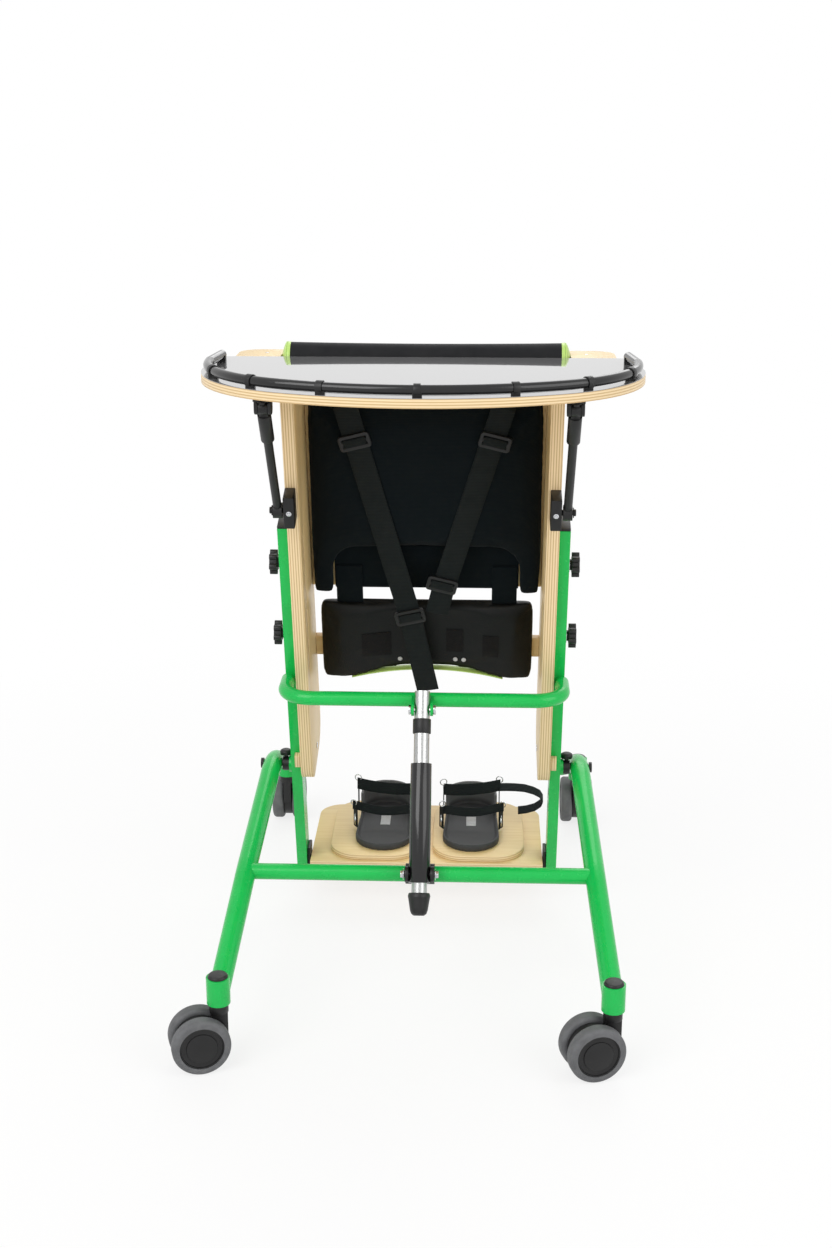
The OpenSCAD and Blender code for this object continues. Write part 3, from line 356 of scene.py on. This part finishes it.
def woven_webbing():
    f = Finish("black_webbing", (0.006, 0.0065, 0.007), 0.7, Sheen_Weight=0.04, Specular_IOR_Level=0.2)
    strap = f.turned((1, 1, 1), (-LEAN, 0, 0))
    ribs = f.math("MULTIPLY", f.wave(210, "X", strap), f.wave(130, "Z", strap))
    f.color(f.mix(f.span(ribs, 0.0, 0.8), (0.002, 0.0045, 0.005), (0.008, 0.013, 0.0135)))
    f.rough(f.noise(60, 3), 0.55, 0.8)
    return f.bump(ribs, 0.0005, 0.7).mat


# Where a sandal's heel cup starts above its sole, the height over which the footbed's colour goes over
# to the cup's paler grey (partly painted light), and how much of the cup's height is kept
CUP_START = 0.020
CUP_FADE = 0.008
CUP_KEPT = 0.8


def foam_rubber():
    """Dark foam for the footbed, and a paler grey for the heel cup: partly the cup's own paler tone, partly
    painted light that lifts the shade inside the cup.
    """
    f = Finish("dark_footbed", (0.03, 0.031, 0.033), 0.7)
    cloud = f.noise(60, 4)
    split = f.node("SeparateXYZ")
    f.link(f.coords, split.inputs["Vector"])
    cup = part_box("sandal_left")[0][2] + CUP_START
    cup_tone_and_painted_light = f.span(split.outputs["Z"], 0.0, 1.0, cup - CUP_FADE, cup)
    footbed = f.ramp(cloud, (0.3, (0.022, 0.023, 0.025)), (0.75, (0.044, 0.045, 0.048)))
    # the cup's grey is its own paler tone raised further as painted light against the shade inside the cup
    f.color(f.mix(cup_tone_and_painted_light, footbed, (0.15, 0.152, 0.156)))
    f.rough(cloud, 0.5, 0.75)
    return f.bump(f.noise(700, 3), 0.0004, 0.4).mat


def loop_patch():
    f = Finish("dark_loop", (0.008, 0.008, 0.009), 0.9, Sheen_Weight=0.1, Specular_IOR_Level=0.1)
    fuzz = f.noise(1500, 3)
    f.shades(fuzz, (0.004, 0.004, 0.0045), (0.013, 0.013, 0.014))
    f.rough(fuzz, 0.8, 0.98)
    return f.bump(fuzz, 0.0008, 0.7).mat


def roller_foam():
    f = Finish("roller_foam", (0.014, 0.0145, 0.016), 0.6, Specular_IOR_Level=0.12)
    f.shades(f.noise(50, 4), (0.012, 0.0125, 0.014), (0.018, 0.0185, 0.02), high=0.75)
    f.rough(f.noise(90, 3), 0.55, 0.7)
    return f.bump(f.noise(900, 2), 0.0003, 0.3).mat


def light_patch():
    f = Finish("pale_patch", (0.52, 0.52, 0.53), 0.6)
    f.shades(f.noise(90, 3), (0.46, 0.46, 0.47), (0.58, 0.58, 0.59))
    f.rough(f.noise(200, 2), 0.5, 0.75)
    return f.mat


def pale_floor():
    """A white floor that keeps a soft shadow near the part and goes over to plain white further out."""
    shadow_to, white_from = 0.45, 1.5
    white_near = 0.78
    f = Finish("pale_floor", (0.9, 0.9, 0.9), 0.6)
    f.shades(f.noise(1.5, 3), (0.89, 0.89, 0.89), (0.91, 0.91, 0.91))
    rays = f.node("LightPath").outputs
    seen = f.math("MAXIMUM", rays["Is Camera Ray"], rays["Is Glossy Ray"])
    seen = f.math("MAXIMUM", seen, rays["Is Transmission Ray"])
    far = f.node("VectorMath", operation="LENGTH")
    f.link(f.coords, far.inputs[0])
    plain = f.span(far.outputs["Value"], white_near, 1.0, shadow_to, white_from)
    white = f.node("Emission", Color=(1, 1, 1, 1), Strength=1.0)
    mix = f.node("MixShader")
    f.link(f.math("MULTIPLY", seen, plain), mix.inputs[0])
    f.link(f.shader.outputs[0], mix.inputs[1])
    f.link(white.outputs[0], mix.inputs[2])
    f.link(mix.outputs[0], f.tree.nodes["Material Output"].inputs["Surface"])
    return f.mat


PAINT = green_paint()
PLASTIC = black_plastic()
TYRE = tyre_rubber()
ALU = drawn_aluminium()
STEEL = plated_steel()
PLY_SIDE = birch_ply("birch_ply_side", "X", (220, 60, 7), (-LEAN, 0, 0))
PLY_FLAT = birch_ply("birch_ply_flat", "Z", (8, 170, 220))
PLY_BACK = birch_ply("birch_ply_back", "Y", (9, 220, 170), (-LEAN, 0, 0))
LAMINATE = grey_laminate()
TUBE = gloss_black()
LIME = lime_plastic()
FABRIC = knit_fabric()
VINYL = grained_vinyl()
WEBBING = woven_webbing()
FOOTBED = foam_rubber()
LOOP = loop_patch()
ROLLER = roller_foam()
PATCH = light_patch()

BY_SLOT = {"green_paint": PAINT, "black_plastic": PLASTIC, "grey_tyre": TYRE, "bright_aluminium": ALU,
           "steel_wire": STEEL, "birch_ply": PLY_SIDE, "grey_laminate": LAMINATE, "black_tube": TUBE,
           "lime_plastic": LIME, "black_fabric": FABRIC, "black_vinyl": VINYL, "black_webbing": WEBBING,
           "dark_footbed": FOOTBED}
BY_NODE = {"tray_board": PLY_FLAT, "foot_board": PLY_FLAT, "foot_plate_left": PLY_FLAT,
           "foot_plate_right": PLY_FLAT, "pad_boards": PLY_BACK, "strut_sleeve": TUBE}


def dress(obj, material):
    obj.data.materials.clear()
    obj.data.materials.append(material)


def dress_cad():
    for row in subparts:
        dress(nodes[row["node"]], BY_NODE.get(row["node"], BY_SLOT[row["material_slot"]]))


dress_cad()


# Making by hand

def clear():
    if bpy.context.mode != "OBJECT":
        bpy.ops.object.mode_set(mode="OBJECT")
    bpy.ops.object.select_all(action="DESELECT")


def pick(obj):
    clear()
    obj.select_set(True)
    bpy.context.view_layer.objects.active = obj
    return obj


def edit_all(obj):
    """Opens a piece in edit mode with everything on it selected."""
    pick(obj)
    bpy.ops.object.mode_set(mode="EDIT")
    bpy.ops.mesh.select_all(action="SELECT")


def named(name):
    obj = bpy.context.active_object
    obj.name = name
    obj.data.name = name
    return obj


def set_place():
    """Puts the active piece's place, turn and size in its mesh."""
    bpy.ops.object.transform_apply(location=True, rotation=True, scale=True)


def finish(obj, material, body, smooth):
    """Puts the place in the mesh, smooths by angle, and gives the piece its finish and its body."""
    pick(obj)
    set_place()
    bpy.ops.object.shade_smooth_by_angle(angle=math.radians(smooth))
    dress(obj, material)
    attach(obj, body)
    return obj


def apply_all(obj):
    pick(obj)
    for m in list(obj.modifiers):
        bpy.ops.object.modifier_apply(modifier=m.name)


def soften(obj, width, segments=2, angle=35):
    m = obj.modifiers.new("soft_edge", "BEVEL")
    m.width = width
    m.segments = segments
    m.limit_method = "ANGLE"
    m.angle_limit = math.radians(angle)
    apply_all(obj)


def thicken(obj, thick):
    m = obj.modifiers.new("thick", "SOLIDIFY")
    m.thickness = thick
    m.offset = 0
    apply_all(obj)


def smooth_out(obj, rounds):
    m = obj.modifiers.new("even", "SMOOTH")
    m.factor = 0.5
    m.iterations = rounds
    apply_all(obj)


def remesh(obj, voxel, rounds):
    """Turns a piece into small even faces with rounded edges."""
    m = obj.modifiers.new("voxels", "REMESH")
    m.mode = "VOXEL"
    m.voxel_size = voxel
    apply_all(obj)
    smooth_out(obj, rounds)


def turn_to(direction):
    return Vector(direction).to_track_quat("Z", "Y").to_euler()


def block(name, middle, size, turn=(0, 0, 0), edge=0.0005, segments=2):
    """A box with softened edges."""
    clear()
    bpy.ops.mesh.primitive_cube_add(size=1, location=middle, rotation=turn)
    obj = named(name)
    obj.scale = size
    set_place()
    soften(obj, edge, segments)
    return obj


def drum(name, at, direction, radius, height, sides, edge, angle=50):
    """A short round or many-sided piece whose base sits at a point and which rises along a direction."""
    clear()
    way = Vector(direction).normalized()
    bpy.ops.mesh.primitive_cylinder_add(vertices=sides, radius=radius, depth=height,
                                        location=Vector(at) + way * height / 2, rotation=turn_to(way))
    obj = named(name)
    set_place()
    soften(obj, edge, 2, angle)
    return obj


def join(name, parts):
    clear()
    for part in parts:
        part.select_set(True)
    bpy.context.view_layer.objects.active = parts[0]
    bpy.ops.object.join()
    return named(name)


def hex_bolt(name, at, direction, radius, height):
    """A hexagon head on a thin washer."""
    washer_width, washer_height = 1.45, 0.001
    way = Vector(direction).normalized()
    washer = drum(name + "_washer", at, way, radius * washer_width, washer_height, 28, 0.0002)
    head = drum(name + "_head", Vector(at) + way * washer_height, way, radius, height, 6, 0.0005, 30)
    return join(name, [washer, head])


def ring(name, at, axis, radius, wire):
    clear()
    bpy.ops.mesh.primitive_torus_add(major_radius=radius, minor_radius=wire, major_segments=32,
                                     minor_segments=10, location=at, rotation=turn_to(axis))
    return named(name)


def strip(name, points, across, width, thick, steps):
    """A flat band along points: across is its sideways direction, one for all points or one for each."""
    if isinstance(across, Vector):
        across = [across] * len(points)
    reach = [0.0]
    for a, b in zip(points, points[1:]):
        reach.append(reach[-1] + (b - a).length)
    clear()
    bpy.ops.mesh.primitive_grid_add(x_subdivisions=4, y_subdivisions=steps, size=1)
    obj = named(name)
    for v in obj.data.vertices:
        along = (v.co.y + 0.5) * reach[-1]
        i = 0
        while i < len(points) - 2 and reach[i + 1] < along:
            i += 1
        f = (along - reach[i]) / max(1e-9, reach[i + 1] - reach[i])
        side = across[i] * (1 - f) + across[i + 1] * f
        v.co = points[i].lerp(points[i + 1], f) + side.normalized() * (v.co.x * width)
    thicken(obj, thick)
    soften(obj, thick * 0.3, 2, 60)
    return obj


def copy_of(node, name):
    """A copy of a CAD solid as a piece of its own, its doubled points merged."""
    obj = nodes[node].copy()
    obj.data = nodes[node].data.copy()
    for key in list(obj.keys()):
        del obj[key]
    obj.parent = None
    obj.matrix_world = Matrix.Identity(4)
    bpy.context.scene.collection.objects.link(obj)
    obj.name = name
    obj.data.name = name
    edit_all(obj)
    bpy.ops.mesh.remove_doubles(threshold=0.00005)
    bpy.ops.object.mode_set(mode="OBJECT")
    return obj


def biggest_part(obj):
    """Keeps the largest loose part of a piece and deletes the others."""
    edit_all(obj)
    bpy.ops.mesh.separate(type="LOOSE")
    bpy.ops.object.mode_set(mode="OBJECT")
    parts = sorted(bpy.context.selected_objects, key=lambda part: len(part.data.vertices), reverse=True)
    for extra in parts[1:]:
        bpy.data.objects.remove(extra)
    return pick(parts[0])


# Soft pieces

PAD_PRESSURE = 4.0
PAD_FRAMES = 20
HELD_FROM = 98 * MM     # what lies further back than this is held on the pad's board


def depth(point):
    """How far a point lies behind the uprights' middle."""
    return (UPRIGHT_TURN @ (point - PIVOT)).y


def blow_up(obj, held):
    """Runs a pad's cover as cloth under pressure and keeps its last shape."""
    cover = obj.modifiers.new("cover", "CLOTH")
    cloth = cover.settings
    cloth.quality = 5
    cloth.mass = 0.3
    cloth.tension_stiffness = 20
    cloth.compression_stiffness = 20
    cloth.bending_stiffness = 1.0
    cloth.use_pressure = True
    cloth.uniform_pressure_force = PAD_PRESSURE
    cloth.vertex_group_mass = held.name
    cloth.effector_weights.gravity = 0
    cover.point_cache.frame_start = 1
    cover.point_cache.frame_end = PAD_FRAMES
    for frame_number in range(1, PAD_FRAMES + 1):
        bpy.context.scene.frame_set(frame_number)
    bpy.ops.object.modifier_apply(modifier=cover.name)
    bpy.context.scene.frame_set(1)


def swell(obj, voxel, cap, draw):
    """Remeshes a pad, draws its front in and blows it up as cloth, no further than its solid's front."""
    remesh(obj, voxel, 4)
    points = obj.data.vertices
    front = min(depth(v.co) for v in points)
    for v in points:
        v.co += BACKWARD * draw * max(0.0, (HELD_FROM - depth(v.co)) / (HELD_FROM - front))
    before = [v.co.copy() for v in points]
    held = obj.vertex_groups.new(name="held")
    held.add([v.index for v in points if depth(v.co) > HELD_FROM], 1.0, "REPLACE")
    blow_up(obj, held)
    for v, old in zip(obj.data.vertices, before):
        move = v.co - old
        if move.length > cap:
            v.co = old + move.normalized() * cap
        v.co += BACKWARD * max(0.0, front - depth(v.co))
    smooth_out(obj, 3)
    obj.vertex_groups.clear()


def trunk_pad():
    pad = biggest_part(copy_of("trunk_pad", "trunk_cushion"))
    pad.name = "trunk_cushion"
    swell(pad, voxel=0.006, cap=0.006, draw=0.0058)
    finish(pad, FABRIC, "carriage", 60)
    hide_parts("trunk_pad")


def knee_pad():
    pad = copy_of("knee_pad", "knee_cushion")
    swell(pad, voxel=0.0045, cap=0.005, draw=0.003)
    finish(pad, VINYL, "carriage", 60)
    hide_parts("knee_pad")


def chest_roller():
    """A foam roller, a little slimmer in its middle, between two lime flanges."""
    cuts = 16
    end_size, waist = 0.972, 0.075
    low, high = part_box("roller_pad")
    length = high[0] - low[0]
    radius = (high[2] - low[2]) / 2
    centre = (Vector(low) + Vector(high)) / 2
    clear()
    bpy.ops.mesh.primitive_cylinder_add(vertices=64, radius=radius, depth=length, location=centre,
                                        rotation=(0, math.pi / 2, 0))
    obj = named("chest_roller")
    set_place()
    soften(obj, 0.0035, 4, 50)
    for cut in range(1, cuts):
        edit_all(obj)
        bpy.ops.mesh.bisect(plane_co=(low[0] + length * cut / cuts, centre.y, centre.z), plane_no=(1, 0, 0))
    bpy.ops.object.mode_set(mode="OBJECT")
    for v in obj.data.vertices:
        u = (v.co.x - centre.x) / (length / 2)
        size = end_size - waist * (1 - u * u)
        v.co.y = centre.y + (v.co.y - centre.y) * size
        v.co.z = centre.z + (v.co.z - centre.z) * size
    finish(obj, ROLLER, "roller", 50)
    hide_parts("roller_pad")
    flanges = []
    for end, way in ((low[0], 1), (high[0], -1)):
        at = (end + way * 0.0001, centre.y, centre.z)
        flanges.append(drum("roller_flange", at, (way, 0, 0), radius, 0.005, 64, 0.0008))
    finish(join("roller_flanges", flanges), LIME, "roller", 40)


# Depth of the straps' fronts: the right one lies behind the left one
LEFT_STRAP, RIGHT_STRAP = 60.2, 62.1


def harness():
    """Two straps in a V over the trunk pad, each from over the top edge of its board."""
    width, thick = 0.034, 0.0018
    board_top, board_depths = 584, (111, 90, 70)
    ripple = 0.28
    made = []
    for name, corners, q in (("harness_strap_left", ((-112, 584.8), (-24, 235), (2, 99)), LEFT_STRAP),
                             ("harness_strap_right", ((112, 584.8), (26, 285), (16, 240)), RIGHT_STRAP)):
        corners = [Vector(c) for c in corners]
        ways = [(b - a).normalized() for a, b in zip(corners, corners[1:])]
        points = [leaned(corners[0].x, board_depth, board_top) for board_depth in board_depths]
        across = [SIDEWAYS] * len(points)
        for k, way in enumerate(ways):
            steps = 14 if k == 0 else 6
            last = k + 1 == len(ways)
            for i in range(steps + 1 if last else steps):
                p = corners[k] + (corners[k + 1] - corners[k]) * i / steps
                middle = q + thick / MM / 2 + ripple * math.sin(i * 1.1 + k)
                points.append(leaned(p.x, middle, p.y))
                run = way if i > 1 or k == 0 else (ways[k - 1] + way).normalized()
                across.append(LEAN_TURN @ Vector((-run.y, 0, run.x)))
        made.append(strip(name, points, across, width, thick, 90))
    for obj in made:
        finish(obj, WEBBING, "carriage", 50)
    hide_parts("harness_straps")


def buckle_covers():
    """The webbing that lies over each buckle's middle bar."""
    proud = 4.7
    for i, (x, h, turn, q) in enumerate(((-100, 531, -15, LEFT_STRAP), (100, 531, 15, RIGHT_STRAP),
                                         (24, 292, 15, RIGHT_STRAP), (-24, 236, -14, LEFT_STRAP))):
        turned = (LEAN_TURN @ Matrix.Rotation(math.radians(turn), 4, "Y")).to_euler()
        cover = block("buckle_cover_%d" % (i + 1), leaned(x, q - proud, h), (0.0335, 0.0014, 0.0125), turned)
        finish(cover, WEBBING, "carriage", 40)


# Points of the right sandal's loose strap end, as at() in sandal_straps takes them
LOOSE_END = ((0.046, 0.124, 0.062), (0.058, 0.125, 0.062), (0.072, 0.127, 0.061), (0.088, 0.130, 0.0585),
             (0.103, 0.133, 0.053), (0.114, 0.136, 0.046), (0.119, 0.138, 0.037), (0.116, 0.139, 0.028),
             (0.106, 0.138, 0.021), (0.092, 0.136, 0.0175), (0.078, 0.134, 0.0165))


def sandal_straps(side):
    """Instep and ankle bands on side tabs, with wire rings at their ends and a pale patch on the heel."""
    s = -1 if side == "left" else 1
    low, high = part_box("sandal_" + side)
    middle = (low[0] + high[0]) / 2
    body = "foot_" + side
    ends = ((-1, "inner"), (1, "outer"))

    def at(x, y, z):
        """A point x outwards from the sandal's middle, y back from its toe and z up from its sole."""
        return Vector((middle + s * x, low[1] + y, low[2] + z))

    def band(name, line, across, width, thick=0.0019, steps=48):
        return strip(name + "_" + side, [at(*p) for p in line], Vector(across), width, thick, steps)

    def tab(name, line, across):
        return band(name, line, across, 0.013, 0.0016, 18)

    instep = []
    ankle = []
    for i in range(25):
        u = i / 12 - 1
        bow = 1 - u * u
        instep.append((0.0505 * u + 0.003, 0.086 - 0.004 * bow, 0.0400 + 0.003 * u - 0.0055 * bow ** 2))
        ankle.append((0.0470 * u + 0.001, 0.125 - 0.008 * bow, 0.0610 + 0.0045 * u - 0.0005 * bow))

    made = [band("instep_strap", instep, (0, 0.42, 0.9), 0.0145)]
    for t, name in ends:
        line = [(t * 0.0488, 0.087, 0.004 + 0.004 * i) for i in range(9)]
        line.append((t * 0.0492 + 0.001, 0.087, 0.041))
        made.append(tab("instep_tab_" + name, line, (0.5 * s * t, 0.85, 0)))
    made.append(band("ankle_strap", ankle, (0, 0.30, 0.95), 0.019))
    for t, name in ends:
        line = [(t * 0.0462, 0.130, 0.026 + 0.004 * i) for i in range(8)]
        line.append((t * 0.0464, 0.129, 0.062))
        made.append(tab("ankle_tab_" + name, line, (0, 1, 0)))
    if side == "right":
        made.append(band("loose_strap", LOOSE_END, (0, 0.86, 0.5), 0.016, steps=60))
    for obj in made:
        finish(obj, WEBBING, body, 50)
    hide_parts("sandal_straps_" + side)

    wire = 0.0009
    rings = []
    for t in (-1, 1):
        spot = at(t * 0.0465, 0.126, 0.072 + 0.003 * t)
        rings.append(ring("ankle_ring_" + side, spot, (0.25 * t, 1, 0.1), 0.0055, wire))
    for t in (-1, 1):
        spot = at(t * 0.0495 + 0.002, 0.086, 0.047)
        rings.append(ring("instep_ring_" + side, spot, (0.3 * t, 1, 0.1), 0.0050, wire))
    finish(join("strap_rings_" + side, rings), STEEL, body, 60)
    patch = block("heel_patch_" + side, at(0, 0.104, 0.0084), (0.016, 0.036, 0.0010), edge=0.0003)
    finish(patch, PATCH, body, 40)


def sandal(side):
    """A moulded foam shell with soft rims and a lowered heel cup."""
    shell = copy_of("sandal_" + side, "sandal_shell_" + side)
    remesh(shell, 0.0022, 5)
    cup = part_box("sandal_" + side)[0][2] + CUP_START
    for v in shell.data.vertices:
        if v.co.z > cup:
            v.co.z = cup + (v.co.z - cup) * CUP_KEPT
    finish(shell, FOOTBED, "foot_" + side, 60)
    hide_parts("sandal_" + side)


def pad_backing():
    """The black cover behind the trunk pad's arch, with its two hanging flaps."""
    for name, x0, x1, q0, q1, h0, h1 in (("cover_layer", -139, 139, 94.3, 99.9, 266, 340),
                                         ("cover_flap_left", -137, -97, 90.8, 94.0, 240, 306),
                                         ("cover_flap_right", 99, 137, 90.8, 94.0, 240, 306)):
        middle = leaned((x0 + x1) / 2, (q0 + q1) / 2, (h0 + h1) / 2)
        size = ((x1 - x0) * MM, (q1 - q0) * MM, (h1 - h0) * MM)
        layer = block(name, middle, size, (LEAN, 0, 0), min(0.0012, size[1] * 0.4), 3)
        finish(layer, FABRIC, "carriage", 40)


def front_of(obj, x, h):
    """The point of a cushion's front at a place of the leaning frame."""
    in_front, if_missed = -60, 84
    hit, point = obj.ray_cast(leaned(x, in_front, h), BACKWARD)[:2]
    return point if hit else leaned(x, if_missed, h)


def laid(name, obj, x0, x1, h0, h1, thick):
    """A thin patch that follows a cushion's front."""
    clear()
    bpy.ops.mesh.primitive_grid_add(x_subdivisions=10, y_subdivisions=10, size=1)
    patch = named(name)
    for v in patch.data.vertices:
        x = x0 + (v.co.x + 0.5) * (x1 - x0)
        h = h0 + (v.co.y + 0.5) * (h1 - h0)
        v.co = front_of(obj, x, h) + FORWARD * thick * 0.4
    thicken(patch, thick)
    return patch


def knee_details():
    """Lime lining under the knee pad's arch, loop patches and bright rivets."""
    arch_radius, arch_top, arch_half = 420, 124, 118
    lining_depth, lining_gap = 91, 1.0
    line = []
    for i in range(33):
        x = -arch_half + 2 * arch_half * i / 32
        h = arch_top - arch_radius + math.sqrt(arch_radius ** 2 - x * x) - lining_gap
        line.append(leaned(x, lining_depth, h))
    lining = strip("knee_lining", line, BACKWARD, 0.013, 0.0018, 64)
    finish(lining, LIME, "carriage", 50)

    pad = bpy.data.objects["knee_cushion"]
    bpy.context.view_layer.update()
    for name, x0, x1, h0, h1 in (("left", -100, -55, 150, 191), ("right", 86, 111, 152, 190),
                                 ("mid", 30, 56, 156, 196)):
        patch = laid("knee_patch_" + name, pad, x0, x1, h0, h1, 0.0016)
        finish(patch, LOOP, "carriage", 40)

    sunk = 0.0008
    rivets = [drum("knee_rivet", front_of(pad, x, 141) - FORWARD * sunk, FORWARD, 0.0036, 0.0022, 28, 0.0008)
              for x in (-42, 44, 57)]
    finish(join("knee_rivets", rivets), PATCH, "carriage", 35)


# Small hardware

def hardware():
    """Bolts, washers and screws that the solids leave out."""
    for s, side in ((-1, "l"), (1, "r")):
        out = (s, 0, 0)
        up, down = (0, 0, 1), (0, 0, -1)
        dark, bright = (PLASTIC, "black_plastic"), (STEEL, "steel_wire")
        # name, place, direction, radius, height, body, finish and slot
        bolts = (
            ("clevis_bolt", place(s * 200, -272, 883), down, 0.004, 0.003, "tray", dark),
            ("clevis_bolt", place(s * 200, -244, 883), down, 0.004, 0.003, "tray", dark),
            ("clamp_bolt", leaned(s * 184, -67, 483), FORWARD, 0.0026, 0.002, "carriage", bright),
            ("trunnion_bolt", place(s * 22, -232, 207), out, 0.0055, 0.004, "main_sleeve", bright),
            ("knuckle_bolt", leaned(s * 207.6, -57, 483), out, 0.005, 0.003, "carriage", dark))
        for name, at, way, radius, height, body, (material, slot) in bolts:
            finish(hex_bolt(name, at, way, radius, height), material, body, 35)
        # name, place, direction, radius, height, sides, edge and body
        screws = (
            ("wing_screw", place(s * 229, 35, 899.0), up, 0.0028, 0.0006, 24, 0.0002, "tray"),
            ("panel_screw", leaned(s * 173.7, 40, 6), (-s, 0, 0), 0.005, 0.0012, 24, 0.0004, "carriage"),
            ("knob_washer", leaned(s * 208.1, 0, 366), out, 0.0108, 0.0011, 36, 0.0002, "knob_" + side + "u"),
            ("knob_washer", leaned(s * 208.1, 0, 244), out, 0.0108, 0.0011, 36, 0.0002, "knob_" + side + "l"))
        for name, at, way, radius, height, sides, edge, body in screws:
            finish(drum(name, at, way, radius, height, sides, edge), STEEL, body, 35)


def spacers():
    """Small ply blocks on the front of the uprights, beside the panels."""
    size = (0.0088, 0.0108, 0.021)
    blocks = [block("upright_spacer", leaned(s * 196.7, -25.5, 26), size, (LEAN, 0, 0), 0.0008)
              for s in (-1, 1)]
    finish(join("upright_spacers", blocks), PLY_SIDE, "upper_frame", 40)


# Rigid pieces whose edges are eased, with the width of each edge

CASTERS = ("fl", "fr", "rl", "rr")
EASED = {"harness_buckles": 0.0008, "tray_clamps": 0.0015, "upright_plugs": 0.001, "foot_brackets": 0.001,
         "foot_board": 0.0018, "foot_plate_left": 0.0025, "foot_plate_right": 0.0025, "tray_board": 0.002,
         "side_panel_left": 0.002, "side_panel_right": 0.002, "tray_brackets": 0.0008, "sleeve_caps": 0.0008,
         "strut_trim": 0.0015, "upright_left": 0.0018, "upright_right": 0.0018, "tray_strut_heads": 0.0012,
         **{"star_knob_" + corner: 0.0014 for corner in ("lu", "ll", "ru", "rl")},
         "lock_knob_left": 0.001, "lock_knob_right": 0.001, "strut_bracket": 0.001, "strut_sleeve": 0.0008,
         **{"caster_fork_" + corner: 0.0015 for corner in CASTERS},
         **{"caster_hubs_" + corner: 0.001 for corner in CASTERS},
         "tray_rail_clips": 0.0008, "pad_boards": 0.0012, "roller_axle": 0.0012, "strut_pin": 0.0008}


def eased_pieces():
    bodies = frame["record"]["behaviour"]["bodies"]
    body_of = {node: body for body, members in bodies.items() for node in members}
    for node, width in EASED.items():
        obj = copy_of(node, node + "_eased")
        edit_all(obj)
        bpy.ops.mesh.dissolve_limited(angle_limit=math.radians(0.5))
        bpy.ops.object.mode_set(mode="OBJECT")
        soften(obj, width, 2, 40)
        finish(obj, nodes[node].data.materials[0], body_of[node], 32)
        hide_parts(node)


def floor():
    clear()
    bpy.ops.mesh.primitive_plane_add(size=40, location=(0, 0, 0))
    obj = named("floor")
    dress(obj, pale_floor())


floor()
trunk_pad()
knee_pad()
chest_roller()
harness()
for side in ("left", "right"):
    sandal_straps(side)
    sandal(side)
eased_pieces()
hardware()
pad_backing()
knee_details()
buckle_covers()
spacers()

clear()
bpy.context.view_layer.update()
